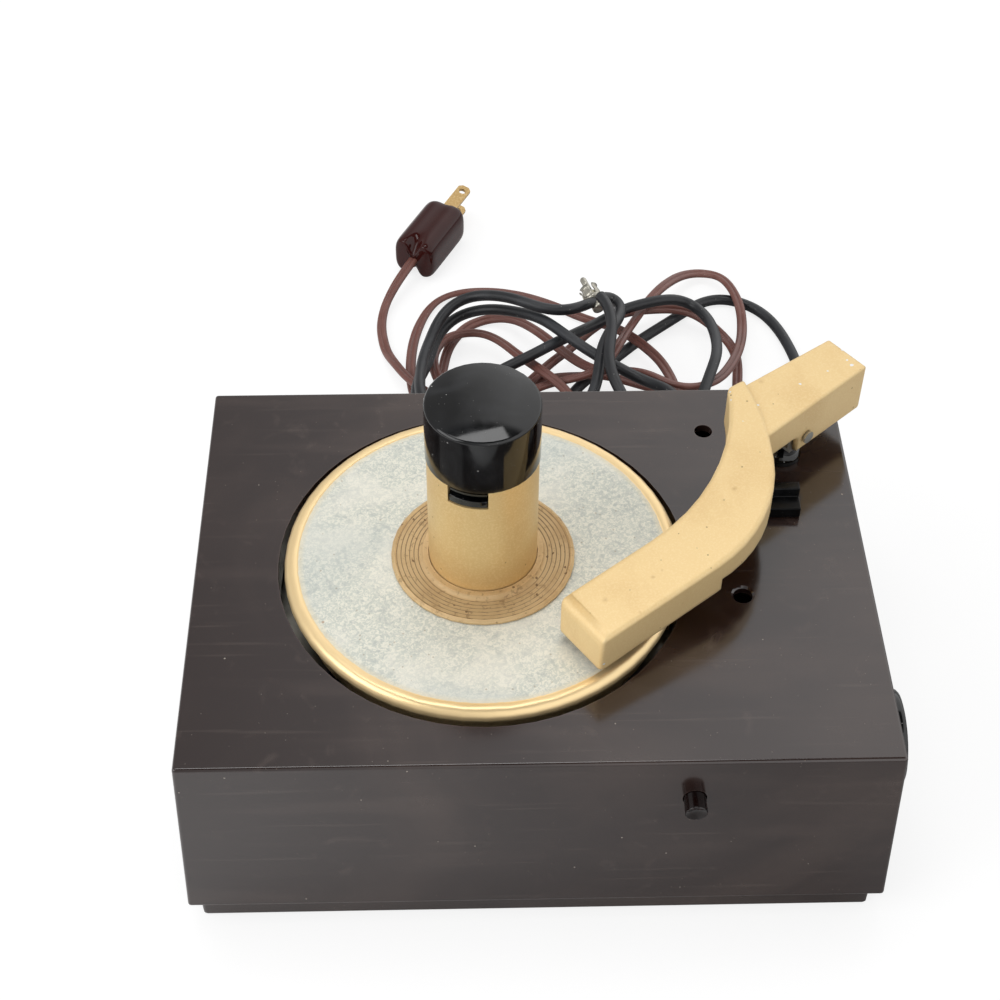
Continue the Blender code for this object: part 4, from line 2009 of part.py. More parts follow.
def make_phono_plug(cord_end, heading):
    """A collar, an open shell and the pin in it, turned as one piece in line with the cable's end."""
    heading = Vector(heading).normalized()
    top = PHONO_COLLAR_LENGTH + PHONO_SHELL_LENGTH
    wall = PHONO_SHELL_RADIUS - PHONO_SHELL_BORE
    profile = [
        (0, top + PHONO_PIN_LENGTH),
        (PHONO_PIN_RADIUS - wall, top + PHONO_PIN_LENGTH),
        (PHONO_PIN_RADIUS, top + PHONO_PIN_LENGTH - wall),
        (PHONO_PIN_RADIUS, PHONO_COLLAR_LENGTH + wall),
        (PHONO_SHELL_BORE, PHONO_COLLAR_LENGTH + wall),
        (PHONO_SHELL_BORE, top),
        (PHONO_SHELL_RADIUS, top),
        (PHONO_SHELL_RADIUS, PHONO_COLLAR_LENGTH),
        (PHONO_COLLAR_RADIUS, PHONO_COLLAR_LENGTH - wall),
        (PHONO_COLLAR_RADIUS, 0),
        (0, 0),
    ]
    plug = turned("phono_plug", profile, PLAIN_STEEL, closed=False)
    plug.location = Vector(cord_end) + heading * SEAT_GAP
    plug.rotation_euler = heading.to_track_quat("Z", "Y").to_euler()


def make_parts():
    make_case()
    make_base()
    make_screws()
    chassis = make_chassis()
    middle, foot = make_motor()
    make_motor_brackets(middle, foot)
    make_rotor(middle, foot)
    make_idler()
    turntable = axis_empty("turntable_axis", (AXIS_X, AXIS_Y, 0))
    make_gears(turntable)
    make_platter(turntable)
    make_hub_disc(turntable)
    make_hub(turntable)
    make_post_tube(turntable)
    make_cap(turntable)
    make_changer_mechanism(turntable)
    make_arm()
    make_arm_rest()
    make_button(chassis)
    make_trip_lever()
    make_knob()
    make_terminal_strip()
    make_cords(make_exits())


make_parts()
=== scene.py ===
import json
import math

import bmesh
import bpy
import numpy as np
from mathutils import Matrix, Vector
from mathutils.bvhtree import BVHTree


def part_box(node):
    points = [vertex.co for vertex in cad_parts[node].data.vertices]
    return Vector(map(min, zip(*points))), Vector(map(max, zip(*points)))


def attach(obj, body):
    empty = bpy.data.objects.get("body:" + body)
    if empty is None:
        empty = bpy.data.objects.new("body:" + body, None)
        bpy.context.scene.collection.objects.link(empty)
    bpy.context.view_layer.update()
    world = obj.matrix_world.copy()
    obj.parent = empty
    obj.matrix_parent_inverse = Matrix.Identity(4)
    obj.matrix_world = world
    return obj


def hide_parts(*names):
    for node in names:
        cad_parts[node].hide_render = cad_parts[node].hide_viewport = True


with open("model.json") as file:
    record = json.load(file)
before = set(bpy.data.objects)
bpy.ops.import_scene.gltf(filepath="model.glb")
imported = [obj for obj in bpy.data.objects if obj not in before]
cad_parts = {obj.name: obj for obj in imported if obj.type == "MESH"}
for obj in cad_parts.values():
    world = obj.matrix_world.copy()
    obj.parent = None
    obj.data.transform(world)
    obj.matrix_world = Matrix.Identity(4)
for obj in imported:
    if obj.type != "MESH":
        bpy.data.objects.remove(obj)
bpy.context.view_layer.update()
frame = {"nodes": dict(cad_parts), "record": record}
nodes = frame["nodes"]
print("frame loaded:", len(nodes), "pieces")

# Camera, set to the photograph's viewing angle
cameraLook = {
    "place": (-0.02354, -0.42209, 0.56948),
    "pitch": 46.95,
    "yaw": 1.66,
    "roll": 0.47,
    "lens": 66.694,
    "sensor": 36,
    "nearest": 0.02,
    "farthest": 30,
}
# The photograph is 1000 pixels square
pictureSide = 1000
middlePixel = pictureSide / 2
focalPixels = cameraLook["lens"] / cameraLook["sensor"] * pictureSide


def placeCamera(look):
    pitch, yaw, roll = (math.radians(look[key]) for key in ("pitch", "yaw", "roll"))
    ahead = Vector((math.sin(yaw) * math.cos(pitch), math.cos(yaw) * math.cos(pitch), -math.sin(pitch)))
    right = ahead.cross(Vector((0, 0, 1))).normalized()
    up = right.cross(ahead)
    across = right * math.cos(roll) + up * math.sin(roll)
    above = up * math.cos(roll) - right * math.sin(roll)
    camera = bpy.data.objects.new("camera", bpy.data.cameras.new("camera"))
    turn = Matrix((across, above, -ahead)).transposed().to_4x4()
    camera.matrix_world = Matrix.Translation(look["place"]) @ turn
    camera.data.lens = look["lens"]
    camera.data.sensor_width = look["sensor"]
    camera.data.clip_start = look["nearest"]
    camera.data.clip_end = look["farthest"]
    bpy.context.scene.collection.objects.link(camera)
    bpy.context.scene.camera = camera


def seenAt(u, v, name):
    # The point of a node, at rest, that the photograph shows at pixel (u, v) of 1000 by 1000
    turn = bpy.context.scene.camera.matrix_world
    ray = (turn.to_3x3() @ Vector((u - middlePixel, middlePixel - v, -focalPixels))).normalized()
    mesh = nodes[name].data
    tree = BVHTree.FromPolygons([p.co for p in mesh.vertices], [f.vertices for f in mesh.polygons])
    return tree.ray_cast(turn.translation, ray)[0]


placeCamera(cameraLook)
bpy.context.scene.view_settings.view_transform = "Standard"


def addNode(tree, kind, links=None, **settings):
    # A shader node; links holds values or other nodes' sockets by input name or number
    node = tree.nodes.new("ShaderNode" + kind)
    for key, value in settings.items():
        setattr(node, key, value)
    for key, value in (links or {}).items():
        socket = node.inputs[key]
        if isinstance(value, bpy.types.NodeSocket):
            tree.links.new(value, socket)
        else:
            socket.default_value = value
    return node


def shade(colour):
    # An sRGB colour, 0 to 255, as linear red, green, blue and alpha
    return tuple((c / 255) ** 2.2 for c in colour) + (1.0,)


# Floor, backdrop and lamps. Reflections see the backdrop at levels of its own, from left to right.
studio = {
    "floorColour": (0.955, 0.955, 0.955, 1),
    "fill": 0.62,
    "floorGlow": 1.1,
    "floorShare": 0.72,
    "mirrorFade": 0.5,
    "mirrorAcross": (-0.1, 0.1),
    "floorReach": 6.0,
    "floorRoughness": 0.9,
    "floorSpecular": 0.1,
    "aim": (0, 0.04, 0.05),
    "backdropTop": 0.84,
    "backdropEdge": 0.05,
    "backdropAcross": (-0.16, 0.2),
    "backdropLeft": 0.5,
    "backdropRight": 1.35,
    "ceiling": 0.08,
    "topPlace": (-0.14, 0.36, 1.6),
    "topSize": (0.95, 0.42),
    "topPower": 5.4,
    "leftPlace": (-1.0, -0.42, 0.85),
    "leftSize": (0.9, 0.9),
    "leftPower": 6.4,
}


def addLamp(name, place, size, power, aim):
    lamp = bpy.data.lights.new(name, "AREA")
    lamp.shape = "RECTANGLE"
    lamp.size, lamp.size_y = size
    lamp.energy = power
    piece = bpy.data.objects.new(name, lamp)
    piece.location = place
    piece.rotation_mode = "QUATERNION"
    piece.rotation_quaternion = (Vector(aim) - Vector(place)).to_track_quat("-Z", "Y")
    bpy.context.scene.collection.objects.link(piece)


def makeStudio(values):
    mesh = bpy.data.meshes.new("floor")
    reach = values["floorReach"]
    mesh.from_pydata([(-reach, -reach, 0), (reach, -reach, 0), (reach, reach, 0), (-reach, reach, 0)], [],
                     [(0, 1, 2, 3)])
    floor = bpy.data.objects.new("floor", mesh)
    bpy.context.scene.collection.objects.link(floor)
    look = bpy.data.materials.new("whiteTable")
    look.use_nodes = True
    tree = look.node_tree
    paint = tree.nodes["Principled BSDF"]
    paint.inputs["Base Color"].default_value = values["floorColour"]
    paint.inputs["Roughness"].default_value = values["floorRoughness"]
    paint.inputs["Specular IOR Level"].default_value = values["floorSpecular"]
    # The camera sees part of the floor as plain white, so that it stays white under the case's shadow
    seen = addNode(tree, "LightPath").outputs["Is Camera Ray"]
    share = addNode(tree, "Math", {0: seen, 1: values["floorShare"]}, operation="MULTIPLY")
    glow = addNode(tree, "Emission", {"Strength": values["floorGlow"]})
    both = addNode(tree, "MixShader", {0: share.outputs[0], 1: paint.outputs[0], 2: glow.outputs[0]})
    # Reflections see the floor darker towards the right
    where = addNode(tree, "TexCoord")
    aim = addNode(tree, "SeparateXYZ", {0: where.outputs["Object"]})
    fade = addNode(tree, "MapRange", {"Value": aim.outputs[0], "From Min": values["mirrorAcross"][0],
                                      "From Max": values["mirrorAcross"][1], "To Min": 0.0,
                                      "To Max": values["mirrorFade"]})
    mirrored = addNode(tree, "LightPath").outputs["Is Glossy Ray"]
    share = addNode(tree, "Math", {0: mirrored, 1: fade.outputs[0]}, operation="MULTIPLY")
    dark = addNode(tree, "Emission", {"Strength": 0.0})
    last = addNode(tree, "MixShader", {0: share.outputs[0], 1: both.outputs[0], 2: dark.outputs[0]})
    tree.links.new(last.outputs[0], tree.nodes["Material Output"].inputs["Surface"])
    mesh.materials.append(look)
    world = bpy.data.worlds.new("studio")
    bpy.context.scene.world = world
    world.use_nodes = True
    tree = world.node_tree
    where = addNode(tree, "TexCoord")
    aim = addNode(tree, "SeparateXYZ", {0: where.outputs["Generated"]})
    rays = addNode(tree, "LightPath")
    # Reflections see the backdrop brighter towards the right, and dark above its top edge
    across = addNode(tree, "MapRange", {"Value": aim.outputs[0], "From Min": values["backdropAcross"][0],
                                        "From Max": values["backdropAcross"][1],
                                        "To Min": values["backdropLeft"], "To Max": values["backdropRight"]})
    above = addNode(tree, "MapRange", {"Value": aim.outputs[2], "From Min": values["backdropTop"],
                                       "From Max": values["backdropTop"] + values["backdropEdge"],
                                       "To Min": 1.0, "To Max": values["ceiling"]},
                    interpolation_type="SMOOTHSTEP")
    mirrored = addNode(tree, "Math", {0: across.outputs[0], 1: above.outputs[0]}, operation="MULTIPLY")
    level = addNode(tree, "Mix", {0: rays.outputs["Is Glossy Ray"], 2: values["fill"],
                                  3: mirrored.outputs[0]}, data_type="FLOAT")
    level = addNode(tree, "Mix", {0: rays.outputs["Is Camera Ray"], 2: level.outputs[0], 3: 1.0},
                    data_type="FLOAT")
    backdrop = tree.nodes["Background"]
    backdrop.inputs["Color"].default_value = (1, 1, 1, 1)
    tree.links.new(level.outputs[0], backdrop.inputs["Strength"])
    for name in ("top", "left"):
        addLamp(name + "Lamp", values[name + "Place"], values[name + "Size"], values[name + "Power"],
                values["aim"])


makeStudio(studio)
print("camera, floor and lamps are in place")


# Cords, from the exits to the plugs. The mains and audio lists are pixels of the photograph, and the
# starts and ends are metres on the floor. Past audioOver the audio cable lies on top.
cordLook = {
    "gap": 0.0008,
    "floorGap": 0.00025,
    "leastLift": 0.0000025,
    "fall": 0.32,
    "step": 0.001,
    "perSpan": 24,
    "ease": 5,
    "easeTurns": 2,
    "exitHeight": 0.022,
    "plugHeight": 0.0103,
    "phonoHeight": 0.0305,
    "mainsRadius": 0.0019,
    "audioRadius": 0.0024,
    "audioOver": 0.315,
    "exitRun": (0.008, 0.05),
    "endRun": (0.006, 0.04),
    "ownSkip": 30,
    "planTurns": 5,
    "layTurns": 24,
    "crest": 11,
    "round": (7, 4),
    "meshEvery": 2,
    "pathEvery": 3,
    "mainsStart": [
        (0.07, 0.11428), (0.07, 0.1183), (0.0697, 0.1235), (0.0677, 0.1295), (0.0636, 0.1345),
        (0.057, 0.1378), (0.045, 0.139), (0.02, 0.1385), (-0.005, 0.139), (-0.022, 0.143),
        (-0.031, 0.152), (-0.031, 0.164), (-0.022, 0.1735), (-0.005, 0.177), (0.02, 0.1775),
        (0.045, 0.177), (0.066, 0.1735), (0.08, 0.165), (0.0825, 0.1535), (0.074, 0.1455), (0.06, 0.1425),
    ],
    "mains": [
        (600, 440), (550, 440), (500, 439), (458, 433), (430, 419), (416, 399), (411, 378), (411, 358),
        (414, 339), (421, 321), (434, 303), (446, 296), (460, 292), (476, 290.5), (493, 290.7),
        (515, 293.5), (537, 299.5), (560, 307.5), (582, 316), (602, 323), (621, 330), (638, 340),
        (655, 354), (666, 368), (673, 382), (679, 400), (689, 422), (706, 436), (726, 438), (740, 426),
        (742, 406), (737, 386), (738, 371), (736, 354), (729, 340), (717, 329), (706, 320), (694, 313),
        (680, 309), (663, 308), (645, 309.5), (627, 312), (610, 317), (594, 327), (576, 342), (556, 358),
        (535, 376), (515, 396), (495, 411), (470, 418), (449, 408), (441, 388), (443, 368), (448, 348),
        (459, 333), (474, 322), (492, 317), (508, 317), (522, 321), (537, 330), (554, 343.5), (571, 356),
        (588, 366), (605, 370.5), (624, 369.5), (644, 372), (660, 379), (675, 385), (690, 387.5),
        (703, 386), (715, 380.5), (727, 369), (736, 354), (741.5, 337), (742, 318), (737.5, 299),
        (728, 283), (714, 273), (698, 270.5), (680, 275.5), (663, 286), (648, 301), (634, 320),
        (624, 335), (615, 350), (604, 365), (588, 375), (570, 379), (552, 382.5), (533, 389), (512, 399),
        (487, 402), (460, 396), (441, 384), (435, 372), (433, 358), (437, 345), (448, 335.5),
        (462, 331.5), (477, 331.5), (491, 336), (506, 345), (520, 356), (537, 368), (553, 379),
        (568, 393), (578, 410), (574, 428), (553, 438), (520, 436), (480, 426), (447, 411), (422, 393),
        (405, 376), (391, 359), (383, 340), (381.5, 320), (385.7, 303), (396.5, 284), (408, 267.5),
    ],
    "mainsEnd": [(-0.0436, 0.2592)],
    "audioStart": [(0.098, 0.09828), (0.098, 0.10228), (0.099, 0.113), (0.104, 0.124), (0.112, 0.137),
                   (0.121, 0.152)],
    "audio": [
        (801, 385), (799, 370), (793, 355), (784, 338), (773, 323), (758, 310), (742, 303), (728, 299.5),
        (715, 299), (701, 302.5), (686, 311), (671, 320.5), (650, 333.5), (634, 344), (620, 355),
        (604, 367), (585, 381), (568, 400), (564, 425), (580, 448), (610, 456), (645, 450), (675, 434),
        (695, 412), (705, 388), (711, 371), (716, 358), (717, 345), (714, 330), (708, 317), (699, 307),
        (688, 301), (675, 299), (662, 300), (649, 302), (636, 305), (624, 309), (611, 315), (596, 323),
        (576, 334), (554, 345), (531, 356.5), (509, 368), (487, 381), (471, 394), (458, 406), (443, 416),
        (426, 414), (416, 402), (418, 384), (427, 366), (432, 349), (439, 334), (450, 322), (463, 315),
        (476, 311.5), (492, 310), (520, 313.5), (543, 321), (560, 332), (576, 344), (593, 354),
        (608, 362), (622, 370), (640, 378), (661, 386), (676, 397), (683, 414), (676, 432), (652, 441),
        (600, 438), (550, 432), (500, 430), (460, 427), (433, 416), (421, 397), (420, 378), (423, 358),
        (430, 340), (439, 322), (450, 308.5), (461, 301), (474, 297.5), (488, 297), (502, 299),
        (526, 307), (548, 314), (568, 316), (586, 311), (599, 303), (609, 298), (619, 302), (620.5, 314),
        (612, 329), (604, 343), (600, 357), (599, 372), (596, 387), (588, 400), (583, 414), (591, 426),
        (609, 430), (626, 425), (632, 412), (625, 399), (616, 386), (611, 372), (608.5, 359),
    ],
    "audioEnd": [(0.0415, 0.176), (0.0408, 0.183), (0.0402, 0.189), (0.0376, 0.1955)],
}


def runLength(points):
    # Distance along a line of points, from its start to each of them
    return np.concatenate([[0], np.cumsum(np.linalg.norm(np.diff(points, axis=0), axis=1))])


def smoothPath(points, look):
    # A smooth curve through the points, read off at equal distances. Each span blends the straight
    # lines through its four nearest points, whose knots lie the root of their distance apart.
    step, ease, perSpan = look["step"], look["ease"], look["perSpan"]
    p = np.array(points, float)
    p = np.vstack([2 * p[0] - p[1], p, 2 * p[-1] - p[-2]])
    knot = np.concatenate([[0], np.cumsum(np.sqrt(np.linalg.norm(np.diff(p, axis=0), axis=1)))])
    a, b, c, d = (p[k:len(p) - 3 + k, None] for k in range(4))
    ta, tb, tc, td = (knot[k:len(p) - 3 + k, None, None] for k in range(4))
    t = tb + (tc - tb) * (np.arange(perSpan) / perSpan)[None, :, None]
    ab = (a * (tb - t) + b * (t - ta)) / (tb - ta)
    bc = (b * (tc - t) + c * (t - tb)) / (tc - tb)
    cd = (c * (td - t) + d * (t - tc)) / (td - tc)
    abc = (ab * (tc - t) + bc * (t - ta)) / (tc - ta)
    bcd = (bc * (td - t) + cd * (t - tb)) / (td - tb)
    fine = np.vstack([((abc * (tc - t) + bcd * (t - tb)) / (tc - tb)).reshape(-1, p.shape[1]), p[-2:-1]])
    run = runLength(fine)
    at = np.linspace(0, run[-1], int(round(run[-1] / step)) + 1)
    marks = np.rint(run[::perSpan] / run[-1] * (len(at) - 1)).astype(int)
    path = np.stack([np.interp(at, run, fine[:, k]) for k in range(p.shape[1])], 1)
    # A moving average eases the tightest turns, and both ends stay where they are
    for _ in range(look["easeTurns"]):
        path = np.vstack([2 * path[0] - path[ease:0:-1], path, 2 * path[-1] - path[-2:-ease - 2:-1]])
        path = np.stack([path[k:len(path) - 2 * ease + k] for k in range(2 * ease + 1)]).mean(0)
    return path, marks


def neighbours(values, reach):
    # Rows of the same values moved by up to reach places both ways; the end values repeat
    padded = np.concatenate([[values[0]] * reach, values, [values[-1]] * reach])
    return np.stack([padded[k:k + len(values)] for k in range(2 * reach + 1)])


def humps(values, fall, look):
    # Widened crests whose flanks fall at a steady slope, rounded by two moving averages
    wide = neighbours(values, look["crest"]).max(0)
    along = np.arange(len(wide)) * fall
    wide = np.maximum.accumulate(wide + along) - along
    wide = (np.maximum.accumulate((wide + along[::-1])[::-1]) - along)[::-1]
    for reach in look["round"]:
        wide = neighbours(wide, reach).mean(0)
    return wide


def onLevel(pixels, heights):
    # Where the photograph's pixels meet level planes at the given heights
    turn = np.array(bpy.context.scene.camera.matrix_world)
    u, v = np.array(pixels, float).T
    depth = np.full(len(u), -focalPixels)
    rays = np.column_stack([u - middlePixel, middlePixel - v, depth]) @ turn[:3, :3].T
    return turn[:2, 3] + rays[:, :2] * ((heights - turn[2, 3]) / rays[:, 2])[:, None]


def routes(look):
    # The traced pixels give the plan only when the heights are known, so both are found in turns
    names = ("mains", "audio")
    heights = [np.full(len(look[name]), look[name + "Radius"]) for name in names]
    for _ in range(look["planTurns"]):
        plans = [np.vstack([look[name + "Start"], onLevel(look[name], high), look[name + "End"]])
                 for name, high in zip(names, heights)]
        laid, marks = layCords(look, plans)
        heights = [path[at[len(look[name + "Start"]):-len(look[name + "End"])], 2]
                   for name, path, at in zip(names, laid, marks)]
    return laid


def layCords(look, plans):
    # Each cord lies on the floor and over what was laid before it: a crossing lifts the upper
    # one by the two radii and the gap, and the lift spreads along it as a long low hump
    step, fall = look["step"], look["fall"] * look["step"]
    radii = (look["mainsRadius"], look["audioRadius"])
    paths, marks = zip(*[smoothPath(plan, look) for plan in plans])
    counts = [len(path) for path in paths]
    where = np.vstack(paths)
    own = np.repeat([0, 1], counts)
    radius = np.repeat(radii, counts)
    index = np.concatenate([np.arange(n) for n in counts])
    over = (0, int(round(look["audioOver"] / step)))
    rank = np.where(index >= np.array(over)[own], 2, 0) + own
    order = rank * len(where) + index
    floors = []
    for n, r, far in zip(counts, radii, (look["plugHeight"], look["phonoHeight"])):
        away = np.arange(n) * step
        height = np.full(n, r + look["floorGap"])
        for run, held, (straight, drop) in ((away, look["exitHeight"], look["exitRun"]),
                                            (away[::-1], far, look["endRun"])):
            share = np.clip((run - straight) / drop, 0, 1)
            height = np.maximum(height, r + (held - r) * (1 + np.cos(np.pi * share)) / 2)
        floors.append(height)
    floor = np.concatenate(floors)
    apart = np.hypot(*(where[:, None] - where[None]).transpose(2, 0, 1))
    reach = radius[:, None] + radius[None] + look["gap"]
    meet = (apart < reach) & (order[:, None] < order[None])
    meet &= (own[:, None] != own[None]) | (np.abs(index[:, None] - index[None]) > look["ownSkip"])
    lower, upper = np.nonzero(meet)
    rise = np.sqrt(reach[lower, upper] ** 2 - apart[lower, upper] ** 2)
    height = floor
    for _ in range(look["layTurns"]):
        wanted = floor.copy()
        np.maximum.at(wanted, upper, height[lower] + rise)
        lifted = np.where(wanted > floor + look["leastLift"], wanted, radius)
        eased = [humps(part, fall, look) for part in np.split(lifted, counts[:1])]
        height = np.maximum(np.concatenate(eased), floor)
    laid = zip(np.split(where, counts[:1]), np.split(height, counts[:1]))
    return [np.column_stack(pair) for pair in laid], marks


def meshFrom(name, grid, look, caps=True):
    # A mesh from a grid of points (along, around, 3); the caps are fans to the end rings' middles
    count, around = grid.shape[:2]
    points = grid.reshape(-1, 3)
    row = np.arange(count - 1)[:, None] * around
    turn = np.arange(around)[None]
    after = (turn + 1) % around
    faces = np.stack([row + turn, row + around + turn, row + around + after, row + after], -1).reshape(-1, 4)
    faces = [tuple(f) for f in faces.tolist()]
    if caps:
        points = np.vstack([points, grid[0].mean(0), grid[-1].mean(0)])
        first, last, base = len(points) - 2, len(points) - 1, (count - 1) * around
        faces += [(first, k, (k + 1) % around) for k in range(around)]
        faces += [(last, base + (k + 1) % around, base + k) for k in range(around)]
    mesh = bpy.data.meshes.new(name)
    mesh.from_pydata(points.tolist(), [], faces)
    layer = mesh.uv_layers.new(name="surface")
    loops = np.empty(len(mesh.loops), np.int64)
    mesh.loops.foreach_get("vertex_index", loops)
    run = runLength(grid.mean(1))
    where = np.stack([run[np.minimum(loops // around, count - 1)], (loops % around) / around], -1)
    layer.data.foreach_set("uv", where.astype(np.float32).ravel())
    mesh.materials.append(look)
    mesh.shade_smooth()
    piece = bpy.data.objects.new(name, mesh)
    bpy.context.scene.collection.objects.link(piece)
    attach(piece, "base")
    return piece


def sweep(path, sections, roll=None):
    # Sections (along, around, 2) carried along a path: x is level and square to the path, y is up from it
    ahead = np.gradient(path, axis=0)
    ahead /= np.linalg.norm(ahead, axis=1)[:, None]
    side = np.cross(ahead, (0, 0, 1.0))
    side /= np.linalg.norm(side, axis=1)[:, None]
    up = np.cross(side, ahead)
    if roll is not None:
        c, s = np.cos(roll)[:, None], np.sin(roll)[:, None]
        side, up = side * c + up * s, up * c - side * s
    return path[:, None] + sections[..., :1] * side[:, None] + sections[..., 1:] * up[:, None]


def startGroup(name, inputs, outputs):
    # A node group with float or vector inputs, given as name: start value, and named float outputs
    group = bpy.data.node_groups.new(name, "ShaderNodeTree")
    for key, value in inputs.items():
        kind = "NodeSocketVector" if key in ("Vector", "Place") else "NodeSocketFloat"
        socket = group.interface.new_socket(key, in_out="INPUT", socket_type=kind)
        if key != "Vector":
            socket.default_value = value
    for key in outputs:
        group.interface.new_socket(key, in_out="OUTPUT", socket_type="NodeSocketFloat")
    return group, group.nodes.new("NodeGroupInput"), group.nodes.new("NodeGroupOutput")


def makeCloud():
    # Soft patches: distorted noise between Low and High
    group, given, out = startGroup("cloud", {"Vector": 0, "Scale": 40, "Detail": 4, "Distort": 0.5,
                                             "Low": 0.45, "High": 0.6}, ["Mask"])
    noise = addNode(group, "TexNoise", {"Vector": given.outputs["Vector"], "Scale": given.outputs["Scale"],
                                        "Detail": given.outputs["Detail"],
                                        "Distortion": given.outputs["Distort"]})
    spread = addNode(group, "MapRange", {"Value": noise.outputs[0], "From Min": given.outputs["Low"],
                                         "From Max": given.outputs["High"]}, interpolation_type="SMOOTHSTEP")
    group.links.new(spread.outputs[0], out.inputs["Mask"])
    return group


def makeSpecks():
    # Small round specks of dust, one in each of a share of the cells of a cell pattern
    group, given, out = startGroup("specks", {"Vector": 0, "Scale": 400, "Size": 0.2, "Share": 0.2}, ["Mask"])
    cells = addNode(group, "TexVoronoi", {"Vector": given.outputs["Vector"], "Scale": given.outputs["Scale"]})
    speck = addNode(group, "Math", {0: cells.outputs["Distance"], 1: given.outputs["Size"]},
                    operation="LESS_THAN")
    chosen = addNode(group, "SeparateColor", {0: cells.outputs["Color"]})
    kept = addNode(group, "Math", {0: chosen.outputs[0], 1: given.outputs["Share"]}, operation="LESS_THAN")
    both = addNode(group, "Math", {0: speck.outputs[0], 1: kept.outputs[0]}, operation="MULTIPLY")
    group.links.new(both.outputs[0], out.inputs["Mask"])
    return group


def makeEdges():
    # Outer edges, found where a rounded normal leaves the true one, broken up by noise
    group, given, out = startGroup("edges", {"Vector": 0, "Scale": 120, "Low": 0.02, "High": 0.25,
                                             "Ragged": 0.6}, ["Mask"])
    rounded = addNode(group, "Bevel", {"Radius": 0.0012}, samples=4)
    plain = addNode(group, "NewGeometry")
    turn = addNode(group, "VectorMath", {0: rounded.outputs[0], 1: plain.outputs["Normal"]},
                   operation="DOT_PRODUCT")
    lost = addNode(group, "Math", {0: 1.0, 1: turn.outputs["Value"]}, operation="SUBTRACT")
    noise = addNode(group, "TexNoise", {"Vector": given.outputs["Vector"], "Scale": given.outputs["Scale"],
                                        "Detail": 5})
    rag = addNode(group, "MapRange", {"Value": noise.outputs[0], "From Min": 0.35, "From Max": 0.65})
    part = addNode(group, "Math", {0: rag.outputs[0], 1: given.outputs["Ragged"]}, operation="MULTIPLY")
    kept = addNode(group, "Math", {0: 1.0, 1: part.outputs[0]}, operation="SUBTRACT")
    both = addNode(group, "Math", {0: lost.outputs[0], 1: kept.outputs[0]}, operation="MULTIPLY")
    spread = addNode(group, "MapRange", {"Value": both.outputs[0], "From Min": given.outputs["Low"],
                                         "From Max": given.outputs["High"]}, interpolation_type="SMOOTHSTEP")
    group.links.new(spread.outputs[0], out.inputs["Mask"])
    return group


def makeStreaks():
    # Long thin marks: noise stretched along one direction of the given vector
    group, given, out = startGroup("streaks", {"Vector": 0, "Scale": 200, "Stretch": 0.05, "Low": 0.6,
                                               "High": 0.7}, ["Mask"])
    stretch = addNode(group, "CombineXYZ", {0: given.outputs["Stretch"], 1: 1.0, 2: 1.0})
    long = addNode(group, "VectorMath", {0: given.outputs["Vector"], 1: stretch.outputs[0]},
                   operation="MULTIPLY")
    noise = addNode(group, "TexNoise", {"Vector": long.outputs[0], "Scale": given.outputs["Scale"],
                                        "Detail": 3, "Distortion": 0.2})
    spread = addNode(group, "MapRange", {"Value": noise.outputs[0], "From Min": given.outputs["Low"],
                                         "From Max": given.outputs["High"]}, interpolation_type="SMOOTHSTEP")
    group.links.new(spread.outputs[0], out.inputs["Mask"])
    return group


def makeBand():
    # Everything farther from the vector's own axis than Low, fading in up to High, with a ragged edge
    group, given, out = startGroup("band", {"Vector": 0, "Scale": 300, "Ragged": 0.0006, "Low": 0.06,
                                            "High": 0.061}, ["Mask"])
    flat = addNode(group, "VectorMath", {0: given.outputs["Vector"], 1: (1, 1, 0)}, operation="MULTIPLY")
    away = addNode(group, "VectorMath", {0: flat.outputs[0]}, operation="LENGTH")
    noise = addNode(group, "TexNoise", {"Vector": given.outputs["Vector"], "Scale": given.outputs["Scale"],
                                        "Detail": 4})
    centred = addNode(group, "Math", {0: noise.outputs[0], 1: 0.5}, operation="SUBTRACT")
    rag = addNode(group, "Math", {0: centred.outputs[0], 1: given.outputs["Ragged"]}, operation="MULTIPLY")
    edge = addNode(group, "Math", {0: away.outputs["Value"], 1: rag.outputs[0]})
    spread = addNode(group, "MapRange", {"Value": edge.outputs[0], "From Min": given.outputs["Low"],
                                         "From Max": given.outputs["High"]}, interpolation_type="SMOOTHSTEP")
    group.links.new(spread.outputs[0], out.inputs["Mask"])
    return group


